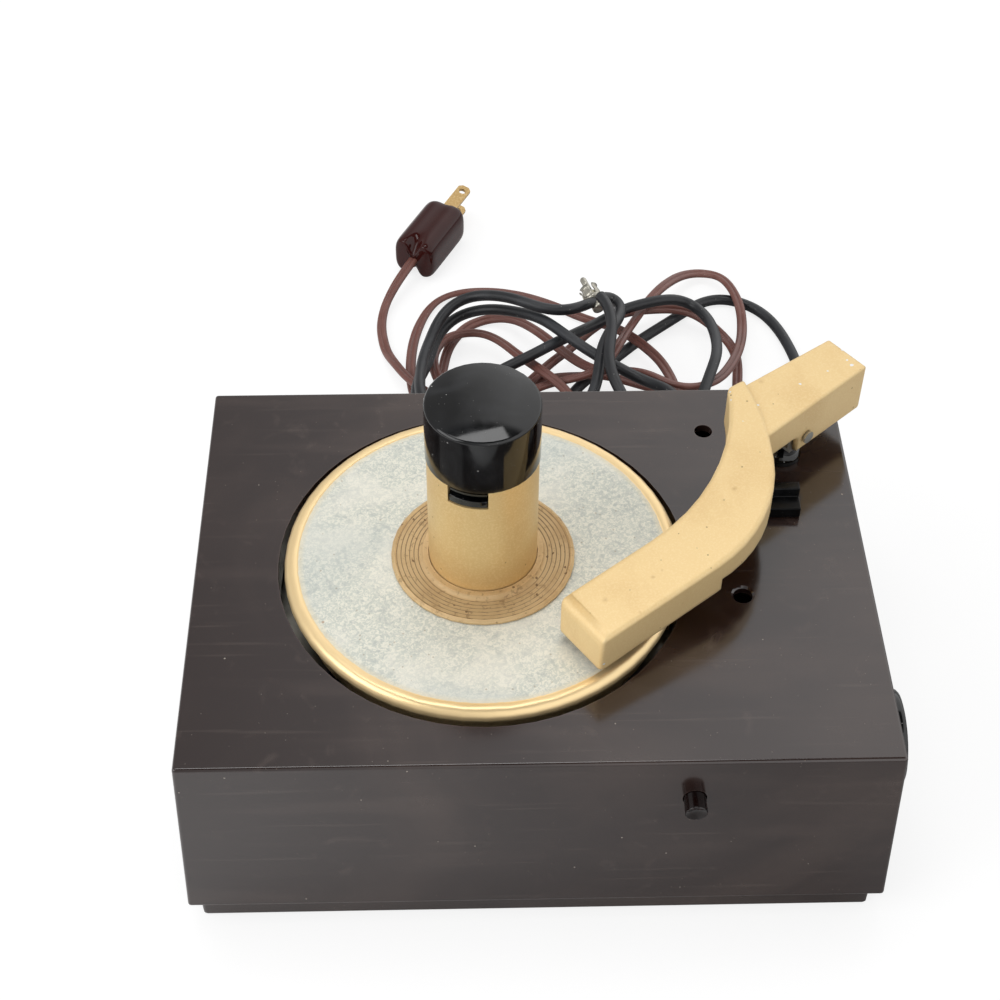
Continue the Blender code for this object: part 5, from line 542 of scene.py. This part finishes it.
def makeGrooveShade():
    # Painted shade: dark rings in the troughs of turned grooves round the vector's own axis
    group, given, out = startGroup("grooves", {"Vector": 0, "Start": 0.02, "Step": 0.0015, "Count": 6.0,
                                               "Width": 0.2}, ["Mask"])
    flat = addNode(group, "VectorMath", {0: given.outputs["Vector"], 1: (1, 1, 0)}, operation="MULTIPLY")
    away = addNode(group, "VectorMath", {0: flat.outputs[0]}, operation="LENGTH")
    beyond = addNode(group, "Math", {0: away.outputs["Value"], 1: given.outputs["Start"]},
                     operation="SUBTRACT")
    turns = addNode(group, "Math", {0: beyond.outputs[0], 1: given.outputs["Step"]}, operation="DIVIDE")
    rest = addNode(group, "Math", {0: turns.outputs[0]}, operation="FRACT")
    off = addNode(group, "Math", {0: rest.outputs[0], 1: 0.75}, operation="SUBTRACT")
    size = addNode(group, "Math", {0: off.outputs[0]}, operation="ABSOLUTE")
    deep = addNode(group, "MapRange", {"Value": size.outputs[0], "From Max": given.outputs["Width"],
                                       "To Min": 1.0, "To Max": 0.0}, interpolation_type="SMOOTHSTEP")
    inside = addNode(group, "Math", {0: turns.outputs[0], 1: 0.0}, operation="GREATER_THAN")
    before = addNode(group, "Math", {0: turns.outputs[0], 1: given.outputs["Count"]}, operation="LESS_THAN")
    both = addNode(group, "Math", {0: inside.outputs[0], 1: before.outputs[0]}, operation="MULTIPLY")
    kept = addNode(group, "Math", {0: both.outputs[0], 1: deep.outputs[0]}, operation="MULTIPLY")
    group.links.new(kept.outputs[0], out.inputs["Mask"])
    return group


def makeSpot():
    # One ragged spot round Place, such as a chip, a stain, a rust mark or a painted shadow
    group, given, out = startGroup("spot", {"Vector": 0, "Place": (0, 0, 0), "Size": 0.002, "Scale": 500,
                                            "Soft": 0.2}, ["Mask"])
    away = addNode(group, "VectorMath", {0: given.outputs["Vector"], 1: given.outputs["Place"]},
                   operation="DISTANCE")
    noise = addNode(group, "TexNoise", {"Vector": given.outputs["Vector"], "Scale": given.outputs["Scale"],
                                        "Detail": 4})
    share = addNode(group, "Math", {0: away.outputs["Value"], 1: given.outputs["Size"]}, operation="DIVIDE")
    both = addNode(group, "Math", {0: share.outputs[0], 1: noise.outputs[0]})
    inner = addNode(group, "Math", {0: 1.0, 1: given.outputs["Soft"]}, operation="SUBTRACT")
    spread = addNode(group, "MapRange", {"Value": both.outputs[0], "From Min": inner.outputs[0],
                                         "From Max": 1.0, "To Min": 1.0, "To Max": 0.0},
                     interpolation_type="SMOOTHSTEP")
    group.links.new(spread.outputs[0], out.inputs["Mask"])
    return group


effects = {"cloud": makeCloud(), "specks": makeSpecks(), "edges": makeEdges(), "streaks": makeStreaks(),
           "band": makeBand(), "grooves": makeGrooveShade(), "spot": makeSpot()}
print("shared effects:", ", ".join(effects))


def finish(name, colour, roughness, metallic=0.0, layers=(), grain=None, centre=(0, 0, 0), soft=0.0,
           **sockets):
    # A finish in layers: each layer has an effect with its values, a colour and what it does to
    # roughness and metal. grain is the fine bump's scale and its depth in metres, centre the origin of
    # the patterns, and soft the radius that rounds the edges' shading.
    look = bpy.data.materials.new(name)
    look.use_nodes = True
    tree = look.node_tree
    shader = tree.nodes["Principled BSDF"]
    where = addNode(tree, "TexCoord")
    place = addNode(tree, "Mapping", {"Vector": where.outputs["Object"],
                                      "Location": tuple(-c for c in centre)})
    hue, rough, metal = shade(colour), roughness, metallic
    for layer in layers:
        mask = tree.nodes.new("ShaderNodeGroup")
        mask.node_tree = effects[layer["effect"]]
        tree.links.new(place.outputs[0], mask.inputs["Vector"])
        for key, value in layer["set"].items():
            mask.inputs[key].default_value = value
        share = mask.outputs["Mask"]
        if layer.get("amount", 1) != 1:
            share = addNode(tree, "Math", {0: share, 1: layer["amount"]}, operation="MULTIPLY").outputs[0]
        if "colour" in layer:
            mix = addNode(tree, "Mix", {0: share, 6: hue, 7: shade(layer["colour"])}, data_type="RGBA")
            hue = mix.outputs[2]
        if "rough" in layer:
            mix = addNode(tree, "Mix", {0: share, 2: rough, 3: layer["rough"]}, data_type="FLOAT")
            rough = mix.outputs[0]
        if "metal" in layer:
            mix = addNode(tree, "Mix", {0: share, 2: metal, 3: layer["metal"]}, data_type="FLOAT")
            metal = mix.outputs[0]
    for key, value in (("Base Color", hue), ("Roughness", rough), ("Metallic", metal)):
        if isinstance(value, bpy.types.NodeSocket):
            tree.links.new(value, shader.inputs[key])
        else:
            shader.inputs[key].default_value = value
    normal = addNode(tree, "Bevel", {"Radius": soft}, samples=6).outputs[0] if soft else None
    if grain:
        scale, depth = grain
        noise = addNode(tree, "TexNoise", {"Vector": place.outputs[0], "Scale": scale, "Detail": 3})
        height = addNode(tree, "Math", {0: noise.outputs[0], 1: depth}, operation="MULTIPLY")
        bump = addNode(tree, "Bump", {"Height": height.outputs[0], "Distance": 1.0, "Strength": 1.0})
        if normal is not None:
            tree.links.new(normal, bump.inputs["Normal"])
        normal = bump.outputs[0]
    if normal is not None:
        tree.links.new(normal, shader.inputs["Normal"])
    for key, value in sockets.items():
        shader.inputs[key.replace("_", " ")].default_value = value
    return look


weldDistance = 0.00001
flatAngle = math.radians(1)
bodyOf = {name: body for body, names in frame["record"]["behaviour"]["bodies"].items() for name in names}
dressed = set()


def dress(look, *names):
    # A CAD piece whose shape is right keeps its mesh and gets the finish
    for name in names:
        mesh = nodes[name].data
        mesh.materials.clear()
        mesh.materials.append(look)
        dressed.add(name)


def refine(look, slot, *names, angle=38):
    # The same form with welded corners, smooth flanks and crisp edges
    for name in names:
        mesh = nodes[name].data.copy()
        form = bmesh.new()
        form.from_mesh(mesh)
        bmesh.ops.remove_doubles(form, verts=form.verts, dist=weldDistance)
        bmesh.ops.dissolve_limit(form, angle_limit=flatAngle, verts=form.verts, edges=form.edges)
        form.to_mesh(mesh)
        form.free()
        mesh.shade_smooth()
        mesh.set_sharp_from_angle(angle=math.radians(angle))
        mesh.materials.clear()
        mesh.materials.append(look)
        piece = bpy.data.objects.new(name + "Form", mesh)
        bpy.context.scene.collection.objects.link(piece)
        flat = piece.modifiers.new("flat", "WEIGHTED_NORMAL")
        flat.keep_sharp = True
        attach(piece, bodyOf[name])
        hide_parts(name)
        dressed.add(name)


low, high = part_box("platter")
axis = ((low.x + high.x) / 2, (low.y + high.y) / 2, 0.0)


def cloud(scale, low, high, colour, amount=1.0, rough=None, distort=0.6, detail=5):
    values = {"Scale": scale, "Detail": detail, "Distort": distort, "Low": low, "High": high}
    layer = {"effect": "cloud", "set": values, "colour": colour, "amount": amount}
    return {**layer, "rough": rough} if rough else layer


def specks(scale, size, share, colour, amount=0.7, rough=0.7):
    return {"effect": "specks", "set": {"Scale": scale, "Size": size, "Share": share}, "colour": colour,
            "amount": amount, "rough": rough}


def streaks(scale, stretch, low, high, colour, amount, rough):
    return {"effect": "streaks", "set": {"Scale": scale, "Stretch": stretch, "Low": low, "High": high},
            "colour": colour, "amount": amount, "rough": rough}


def spots(name, places, colour, amount=1.0, soft=0.3, scale=500, centre=(0, 0, 0), **more):
    # Marks and painted shade on a node at pixels of the photograph: each place is a pixel and a size in
    # metres
    found = [(seenAt(u, v, name), size) for u, v, size in places]
    return [{"effect": "spot", "colour": colour, "amount": amount, **more,
             "set": {"Place": at - Vector(centre), "Size": size, "Soft": soft, "Scale": scale}}
            for at, size in found if at]


# Brown moulded case: near-mirror gloss under wiping smears, haze and dust
caseFinish = {
    "colour": (42, 30, 28),
    "roughness": 0.13,
    "IOR": 1.7,
    "layers": [
        cloud(9, 0.4, 0.72, (70, 57, 52), 0.7, 0.24, 1.2, 6),
        streaks(90, 0.12, 0.5, 0.78, (78, 65, 60), 0.35, 0.26),
        streaks(420, 0.04, 0.6, 0.74, (96, 84, 78), 0.2, 0.3),
        cloud(60, 0.58, 0.8, (96, 82, 76), 0.22, 0.34, 2.5, 6),
        specks(330, 0.1, 0.03, (176, 166, 154), 0.6),
        specks(900, 0.16, 0.03, (130, 118, 106), 0.4),
        {"effect": "edges", "set": {"Scale": 90, "Low": 0.03, "High": 0.3, "Ragged": 0.5},
         "colour": (110, 92, 84), "amount": 0.4, "rough": 0.2},
    ],
    "grain": (120, 0.000004),
}
deckFinish = {
    "colour": (204, 208, 198),
    "roughness": 0.5,
    "metallic": 0.15,
    "layers": [
        cloud(860, 0.42, 0.6, (238, 236, 222), 0.85, 0.5, 1.2, 6),
        cloud(260, 0.5, 0.66, (176, 182, 178), 0.5, 0.45, 1.5, 6),
        cloud(48, 0.44, 0.66, (240, 237, 224), 0.5, 0.5, 0.8, 4),
        cloud(18, 0.5, 0.7, (186, 196, 195), 0.35, 0.42, 0.8, 4),
        specks(700, 0.25, 0.05, (156, 140, 116), 0.5, 0.6),
        {"effect": "band", "set": {"Scale": 260, "Ragged": 0.0012, "Low": 0.0612, "High": 0.0634},
         "colour": (228, 218, 190), "amount": 0.55},
        {"effect": "band", "set": {"Scale": 420, "Ragged": 0.0007, "Low": 0.06355, "High": 0.0637},
         "colour": (250, 220, 166), "rough": 0.34, "metal": 0.6},
    ],
    "grain": (900, 0.000012),
}
goldFinish = {
    "colour": (230, 198, 139),
    "roughness": 0.42,
    "metallic": 0.5,
    "layers": [
        cloud(45, 0.46, 0.72, (222, 184, 124), 0.4, 0.48),
        cloud(1400, 0.45, 0.65, (250, 224, 172), 0.3, None, 0.4, 3),
        specks(420, 0.16, 0.03, (150, 116, 76), 0.6, 0.6),
    ],
    "grain": (1800, 0.000005),
}
blackFinish = {
    "colour": (12, 12, 13),
    "roughness": 0.07,
    "layers": [
        cloud(60, 0.4, 0.8, (46, 47, 49), 0.6, 0.16, 1.0),
        specks(420, 0.12, 0.1, (168, 166, 164), 0.7),
        specks(1100, 0.14, 0.06, (120, 118, 116), 0.5),
    ],
}
steelFinish = {
    "colour": (176, 174, 166),
    "roughness": 0.34,
    "metallic": 0.9,
    "layers": [cloud(90, 0.45, 0.65, (140, 138, 130), 0.6, 0.45, 0.4, 4),
               specks(700, 0.2, 0.05, (100, 84, 66), 0.5, 0.7)],
}
mainsFinish = {
    "colour": (112, 72, 64),
    "roughness": 0.36,
    "layers": [cloud(60, 0.45, 0.7, (130, 92, 84), 0.6, 0.48, 0.5, 4),
               specks(900, 0.2, 0.05, (170, 150, 140), 0.5, 0.8)],
    "grain": (900, 0.000008),
}
audioFinish = {
    "colour": (34, 35, 38),
    "roughness": 0.4,
    "layers": [cloud(50, 0.45, 0.7, (56, 58, 62), 0.6, 0.52, 0.5, 4),
               specks(800, 0.2, 0.06, (150, 148, 144), 0.5, 0.8)],
    "grain": (900, 0.000008),
}
hubFinish = {
    "colour": (208, 178, 132),
    "roughness": 0.55,
    "metallic": 0.35,
    "layers": [
        # Painted shade in the groove troughs
        {"effect": "grooves", "set": {"Start": 0.0212, "Step": 0.001486, "Count": 6.0, "Width": 0.17},
         "colour": (74, 54, 36), "amount": 0.85, "rough": 0.75},
        cloud(90, 0.46, 0.7, (182, 148, 104), 0.6, 0.62),
        cloud(500, 0.56, 0.7, (130, 100, 66), 0.5, 0.7, 1.0),
        specks(500, 0.26, 0.05, (92, 60, 34), 0.7),
        # Painted highlight along the disc's outer edges
        {"effect": "edges", "set": {"Scale": 300, "Low": 0.02, "High": 0.2, "Ragged": 0.5},
         "colour": (244, 214, 164), "amount": 0.5},
    ],
    "grain": (1400, 0.00001),
}
mouldedBrown = finish("mouldedBrown", **caseFinish)
baseBrown = finish("baseBrown", **{**caseFinish, "colour": (46, 36, 34), "roughness": 0.22})
# Deck spots: the first two are a painted shadow of the arm's head, then a rust spot and three pale patches
deckMarksAndShade = [*spots("platter", [(568, 640, 0.009), (575, 650, 0.006)], (140, 142, 138), 0.6, 0.9, 120, axis),
             *spots("platter", [(323, 622, 0.0016)], (172, 130, 92), 0.8, 0.4, 400, axis),
             *spots("platter", [(340, 500, 0.016), (345, 640, 0.014), (560, 470, 0.012)],
                    (246, 242, 230), 0.4, 0.9, 60, axis)]
# The marks and the painted shadow lie on the deck's own layers and under the two bands of its rim
deckLayers = deckFinish["layers"][:-2] + deckMarksAndShade + deckFinish["layers"][-2:]
deckZinc = finish("wornZinc", centre=axis, **{**deckFinish, "layers": deckLayers})
hubBronze = finish("dustyBronzeShadedGrooves", centre=axis, **hubFinish)
postGold = finish("postGold", centre=axis, **goldFinish)
chipPlaces = [(758, 405, 0.0011), (800, 384, 0.0012), (743, 421, 0.0006), (842, 350, 0.0012),
              (852, 365, 0.0013), (847, 360, 0.0008), (828, 371, 0.0008), (730, 392, 0.0008),
              (731, 400, 0.0007), (604, 664, 0.0009)]
stainPlaces = [(723, 500, 0.0024), (734, 489, 0.0026), (761, 381, 0.0034), (605, 600, 0.0030),
               (653, 577, 0.0026), (662, 570, 0.0018), (690, 470, 0.0022), (640, 612, 0.0020),
               (806, 428, 0.0026), (770, 366, 0.0022)]
dotPlaces = [(708, 555, 0.0005), (711, 568, 0.0004), (724, 500, 0.0004), (661, 560, 0.0004),
             (697, 548, 0.0003), (729, 388, 0.0010), (731, 395, 0.0007), (630, 590, 0.0003),
             (760, 452, 0.0003), (590, 613, 0.0003)]
armLayers = goldFinish["layers"] + [
    *spots("tonearm", stainPlaces, (190, 146, 92), 0.7, 0.9, 260),
    *spots("tonearm", chipPlaces, (240, 240, 240), 1.0, 0.15, 900, rough=0.4, metal=0.2),
    *spots("tonearm", dotPlaces, (62, 42, 26), 0.9, 0.2, 900, rough=0.7, metal=0.0),
    # Painted highlight along the arm's outer edges
    {"effect": "edges", "set": {"Scale": 200, "Low": 0.05, "High": 0.35, "Ragged": 0.4},
     "colour": (255, 236, 196), "amount": 0.4},
]
armGold = finish("armGold", soft=0.0016, **{**goldFinish, "metallic": 0.2, "colour": (240, 208, 150),
                                            "layers": armLayers})
glossBlack = finish("glossBlack", **blackFinish)
restBlack = finish("restBlack", **{**blackFinish, "roughness": 0.3, "Specular_IOR_Level": 0.15})
plainSteel = finish("plainSteel", **steelFinish)
brass = finish("brass", **{**goldFinish, "colour": (182, 150, 98), "roughness": 0.36, "metallic": 0.7})
copper = finish("copper", **{**goldFinish, "colour": (186, 104, 66), "roughness": 0.35})
rubber = finish("rubber", (34, 33, 33), 0.75, grain=(900, 0.00001))
buttonBrown = finish("buttonBrown", **{**blackFinish, "colour": (24, 12, 9)})
plugLayers = [cloud(60, 0.5, 0.8, (66, 36, 32), 0.5, 0.16, 1.0)]
plugBrown = finish("plugBrown", (56, 24, 22), 0.08, layers=plugLayers, Specular_IOR_Level=0.28)
paper = finish("paperBoard", (170, 134, 92), 0.7, layers=[cloud(200, 0.45, 0.65, (150, 116, 78), 0.6)],
               grain=(600, 0.00002))

refine(mouldedBrown, "case_brown", "case_shell")
refine(baseBrown, "case_brown", "base_pan")
refine(deckZinc, "worn_zinc", "platter")
refine(hubBronze, "satin_gold", "hub_disc", angle=25)
refine(postGold, "satin_gold", "centre_post")
refine(armGold, "satin_gold", "tonearm")
refine(restBlack, "gloss_black", "arm_rest")
refine(glossBlack, "gloss_black", "spindle_cap", "power_knob", "arm_pivot_flange", "record_shelf_1",
       "record_shelf_2")
refine(buttonBrown, "case_brown", "reject_button")
dress(glossBlack, "separator_blade_1", "separator_blade_2", "power_switch", "cartridge",
      "mains_strain_relief", "audio_grommet")
dress(brass, "cycle_gear_stud", "hub_pinion", "cycle_gear", "plug_blade_1", "plug_blade_2", "platter_hub")
dress(copper, "motor_coil")
dress(rubber, "idler_tyre")
dress(paper, "terminal_strip")
replacedNodes = {"plug_body", "mains_lead", "mains_hank", "mains_tail", "audio_lead", "audio_hank"}
dress(plainSteel, *sorted(set(nodes) - dressed - replacedNodes))
print("finishes are on")

cordBrown = finish("cordBrown", **mainsFinish)
cordBlack = finish("cordBlack", **audioFinish)

# Mains cord: flat twin flex, two round lobes side by side
mainsLook = {
    "lobe": 0.00125,
    "spacing": 0.0021,
    "around": 24,
    "rollMost": 38,
    "rollWaves": (5.3, 11.7, 23.1),
    "tubeRadius": 0.0019,
    "calmRun": 0.03,
    "diameter": 0.004,
}
# Audio cable: round
audioLook = {
    "radius": 0.0024,
    "around": 20,
    "diameter": 0.0048,
}


def ringTurns(count):
    # Equal angles round a ring
    return np.arange(count) / count * math.tau


def makeMains(path, look, material):
    # The section is the outline of two overlapping circles side by side, seen from between them:
    # reach(turn) = |cos turn| * half + sqrt(lobe^2 - (sin turn * half)^2). It rolls slowly along the
    # cord, and sinks so that its underside stays on the laid tube's underside.
    run = runLength(path)
    calm = np.clip(np.minimum(run, run[-1] - run) / look["calmRun"], 0, 1) ** 2
    waves = [np.sin(math.tau * w * run / run[-1] + w) for w in look["rollWaves"]]
    roll = np.radians(look["rollMost"]) * np.mean(waves, 0) * calm
    turn, half, lobe = ringTurns(look["around"]), look["spacing"] / 2, look["lobe"]
    reach = np.abs(np.cos(turn)) * half + np.sqrt(lobe**2 - (np.sin(turn) * half) ** 2)
    section = np.stack([np.cos(turn) * reach, np.sin(turn) * reach], -1)
    low = path.copy()
    low[:, 2] -= (look["tubeRadius"] - lobe - np.abs(np.sin(roll)) * half) * calm
    sections = np.broadcast_to(section, (len(path), *section.shape))
    return meshFrom("mainsCord", sweep(low, sections, roll), material)


def makeAudio(path, look, material):
    # A circle, radius * (cos turn, sin turn), carried along the laid path
    turn = ringTurns(look["around"])
    section = look["radius"] * np.stack([np.cos(turn), np.sin(turn)], -1)
    sections = np.broadcast_to(section, (len(path), *section.shape))
    return meshFrom("audioCable", sweep(path, sections), material)


# Mains plug: a block with two rounded lobes and the cord's notch between them
plugLook = {
    "tip": (-0.029785, 0.286168),
    "wide": 1.12,
    "square": 3.4,
    "endSquare": 11.0,
    "crease": 0.0007,
    "creaseWidth": 0.0026,
    "notch": 0.0062,
    "notchWidth": 0.0026,
    "notchRun": 0.0048,
    "thinnest": 0.0002,
    "endTurn": 0.02,
    "along": 72,
    "around": 96,
}


def makePlugBody(look, material):
    # Superellipse sections as large as the CAD block, closed at both ends by a superellipse in length:
    # size(t) = (1 - |2t - 1|^k)^(1/k). The crease and the notch take depth from the middle of each section.
    points = np.array([v.co for v in nodes["plug_body"].data.vertices])
    start = np.array([*cordLook["mainsEnd"][0], 0.0])
    ahead = np.array([*look["tip"], 0.0]) - start
    ahead /= np.linalg.norm(ahead)
    side = np.array([ahead[1], -ahead[0], 0.0])
    run, across = (points - start) @ ahead, (points - start) @ side
    halfWide = (across.max() - across.min()) / 2 * look["wide"]
    halfHigh = (points[:, 2].max() - points[:, 2].min()) / 2
    middle = start + side * (across.max() + across.min()) / 2
    middle[2] = points[:, 2].min() + halfHigh
    t = (1 - np.cos(np.linspace(look["endTurn"], math.pi - look["endTurn"], look["along"]))) / 2
    size = (1 - np.abs(2 * t - 1) ** look["endSquare"]) ** (1 / look["endSquare"])
    turn = ringTurns(look["around"])
    c, s = np.cos(turn), np.sin(turn)
    x = halfWide * np.sign(c) * np.abs(c) ** (2 / look["square"]) * size[:, None]
    z = halfHigh * np.sign(s) * np.abs(s) ** (2 / look["square"]) * size[:, None]
    back = t * (run.max() - run.min())
    depth = look["crease"] * np.exp(-(x / look["creaseWidth"]) ** 2)
    near = np.exp(-(back / look["notchRun"]) ** 2)[:, None]
    depth = depth + look["notch"] * np.exp(-(x / look["notchWidth"]) ** 2) * near
    z = np.sign(z) * np.maximum(np.abs(z) - depth, look["thinnest"])
    grid = middle + (run.min() + back)[:, None, None] * ahead + x[..., None] * side
    grid[..., 2] += z
    piece = meshFrom("plugBody", grid, material)
    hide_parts("plug_body")
    return piece


# Phono plug: distance from its back and radius, in metres
phonoLook = {
    "place": (0.0376, 0.1955, 0.0305),
    "tip": (0.033295, 0.206164, 0.032442),
    "collar": [(0.0, 0.0), (0.0, 0.0026), (0.0004, 0.0029), (0.002, 0.0029), (0.0024, 0.0026),
               (0.0044, 0.0027),
               (0.005, 0.0037), (0.0056, 0.0041), (0.0066, 0.0041), (0.0069, 0.0037), (0.0069, 0.0)],
    "core": [(0.006, 0.0), (0.006, 0.0025), (0.0096, 0.0025), (0.01, 0.0022), (0.01, 0.0)],
    "pin": [(0.009, 0.0), (0.009, 0.0014), (0.0178, 0.0014), (0.0186, 0.001), (0.0188, 0.0)],
    "petals": 4,
    "petalHalf": 33,
    "petalAround": 9,
    "petal": [(0.0062, 0.0039), (0.0075, 0.0042), (0.0092, 0.0041), (0.0112, 0.0038), (0.0122, 0.0044)],
    "thick": 0.0004,
    "around": 32,
}


def lathe(name, profile, look, material):
    # Rings of a profile (distance, radius) round the plug's axis:
    # back + distance * ahead + radius * (cos turn * side + sin turn * up)
    ahead, side, up, back = plugFrame(look)
    run, radius = np.array(profile).T
    turn = ringTurns(look["around"])
    grid = back + run[:, None, None] * ahead + radius[:, None, None] * (
        np.cos(turn)[None, :, None] * side + np.sin(turn)[None, :, None] * up)
    return meshFrom(name, grid, material, caps=False)


def plugFrame(look):
    # Unit vectors along the plug, level across it and up from it, then its back end
    back, tip = np.array(look["place"]), np.array(look["tip"])
    ahead = (tip - back) / np.linalg.norm(tip - back)
    side = np.cross(ahead, (0, 0, 1.0))
    side /= np.linalg.norm(side)
    return ahead, side, np.cross(side, ahead), back


def makePetals(look, material):
    # Strips of a thin flared tube: each section runs round the outside and back round the inside
    ahead, side, up, back = plugFrame(look)
    run, radius = np.array(look["petal"]).T
    half, count = math.radians(look["petalHalf"]), look["petalAround"]
    arc = np.linspace(-half, half, count)
    pieces = []
    for k in range(look["petals"]):
        turn = np.concatenate([arc, arc[::-1]]) + math.tau * (k + 0.5) / look["petals"]
        depth = np.repeat([0, look["thick"]], count)
        away = radius[:, None] - depth[None]
        grid = back + run[:, None, None] * ahead + away[..., None] * (
            np.cos(turn)[None, :, None] * side + np.sin(turn)[None, :, None] * up)
        pieces.append(meshFrom(f"phonoPetal{k + 1}", grid, material))
    return pieces


mainsPath, audioPath = routes(cordLook)
mainsCord = makeMains(mainsPath[::cordLook["meshEvery"]], mainsLook, cordBrown)
audioCable = makeAudio(audioPath[::cordLook["meshEvery"]], audioLook, cordBlack)
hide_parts("mains_lead", "mains_hank", "mains_tail")
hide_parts("audio_lead", "audio_hank")
plugPieces = [makePlugBody(plugLook, plugBrown), nodes["plug_blade_1"], nodes["plug_blade_2"]]
phonoSilver = finish("phonoSilver", **{**steelFinish, "colour": (188, 184, 172), "roughness": 0.3})
phonoPale = finish("phonoPale", (226, 220, 196), 0.5)
phonoPieces = [lathe("phonoCollar", phonoLook["collar"], phonoLook, phonoSilver),
               lathe("phonoCore", phonoLook["core"], phonoLook, phonoPale),
               lathe("phonoPin", phonoLook["pin"], phonoLook, phonoSilver),
               *makePetals(phonoLook, phonoSilver)]
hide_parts("phono_plug")
print("cords are laid")
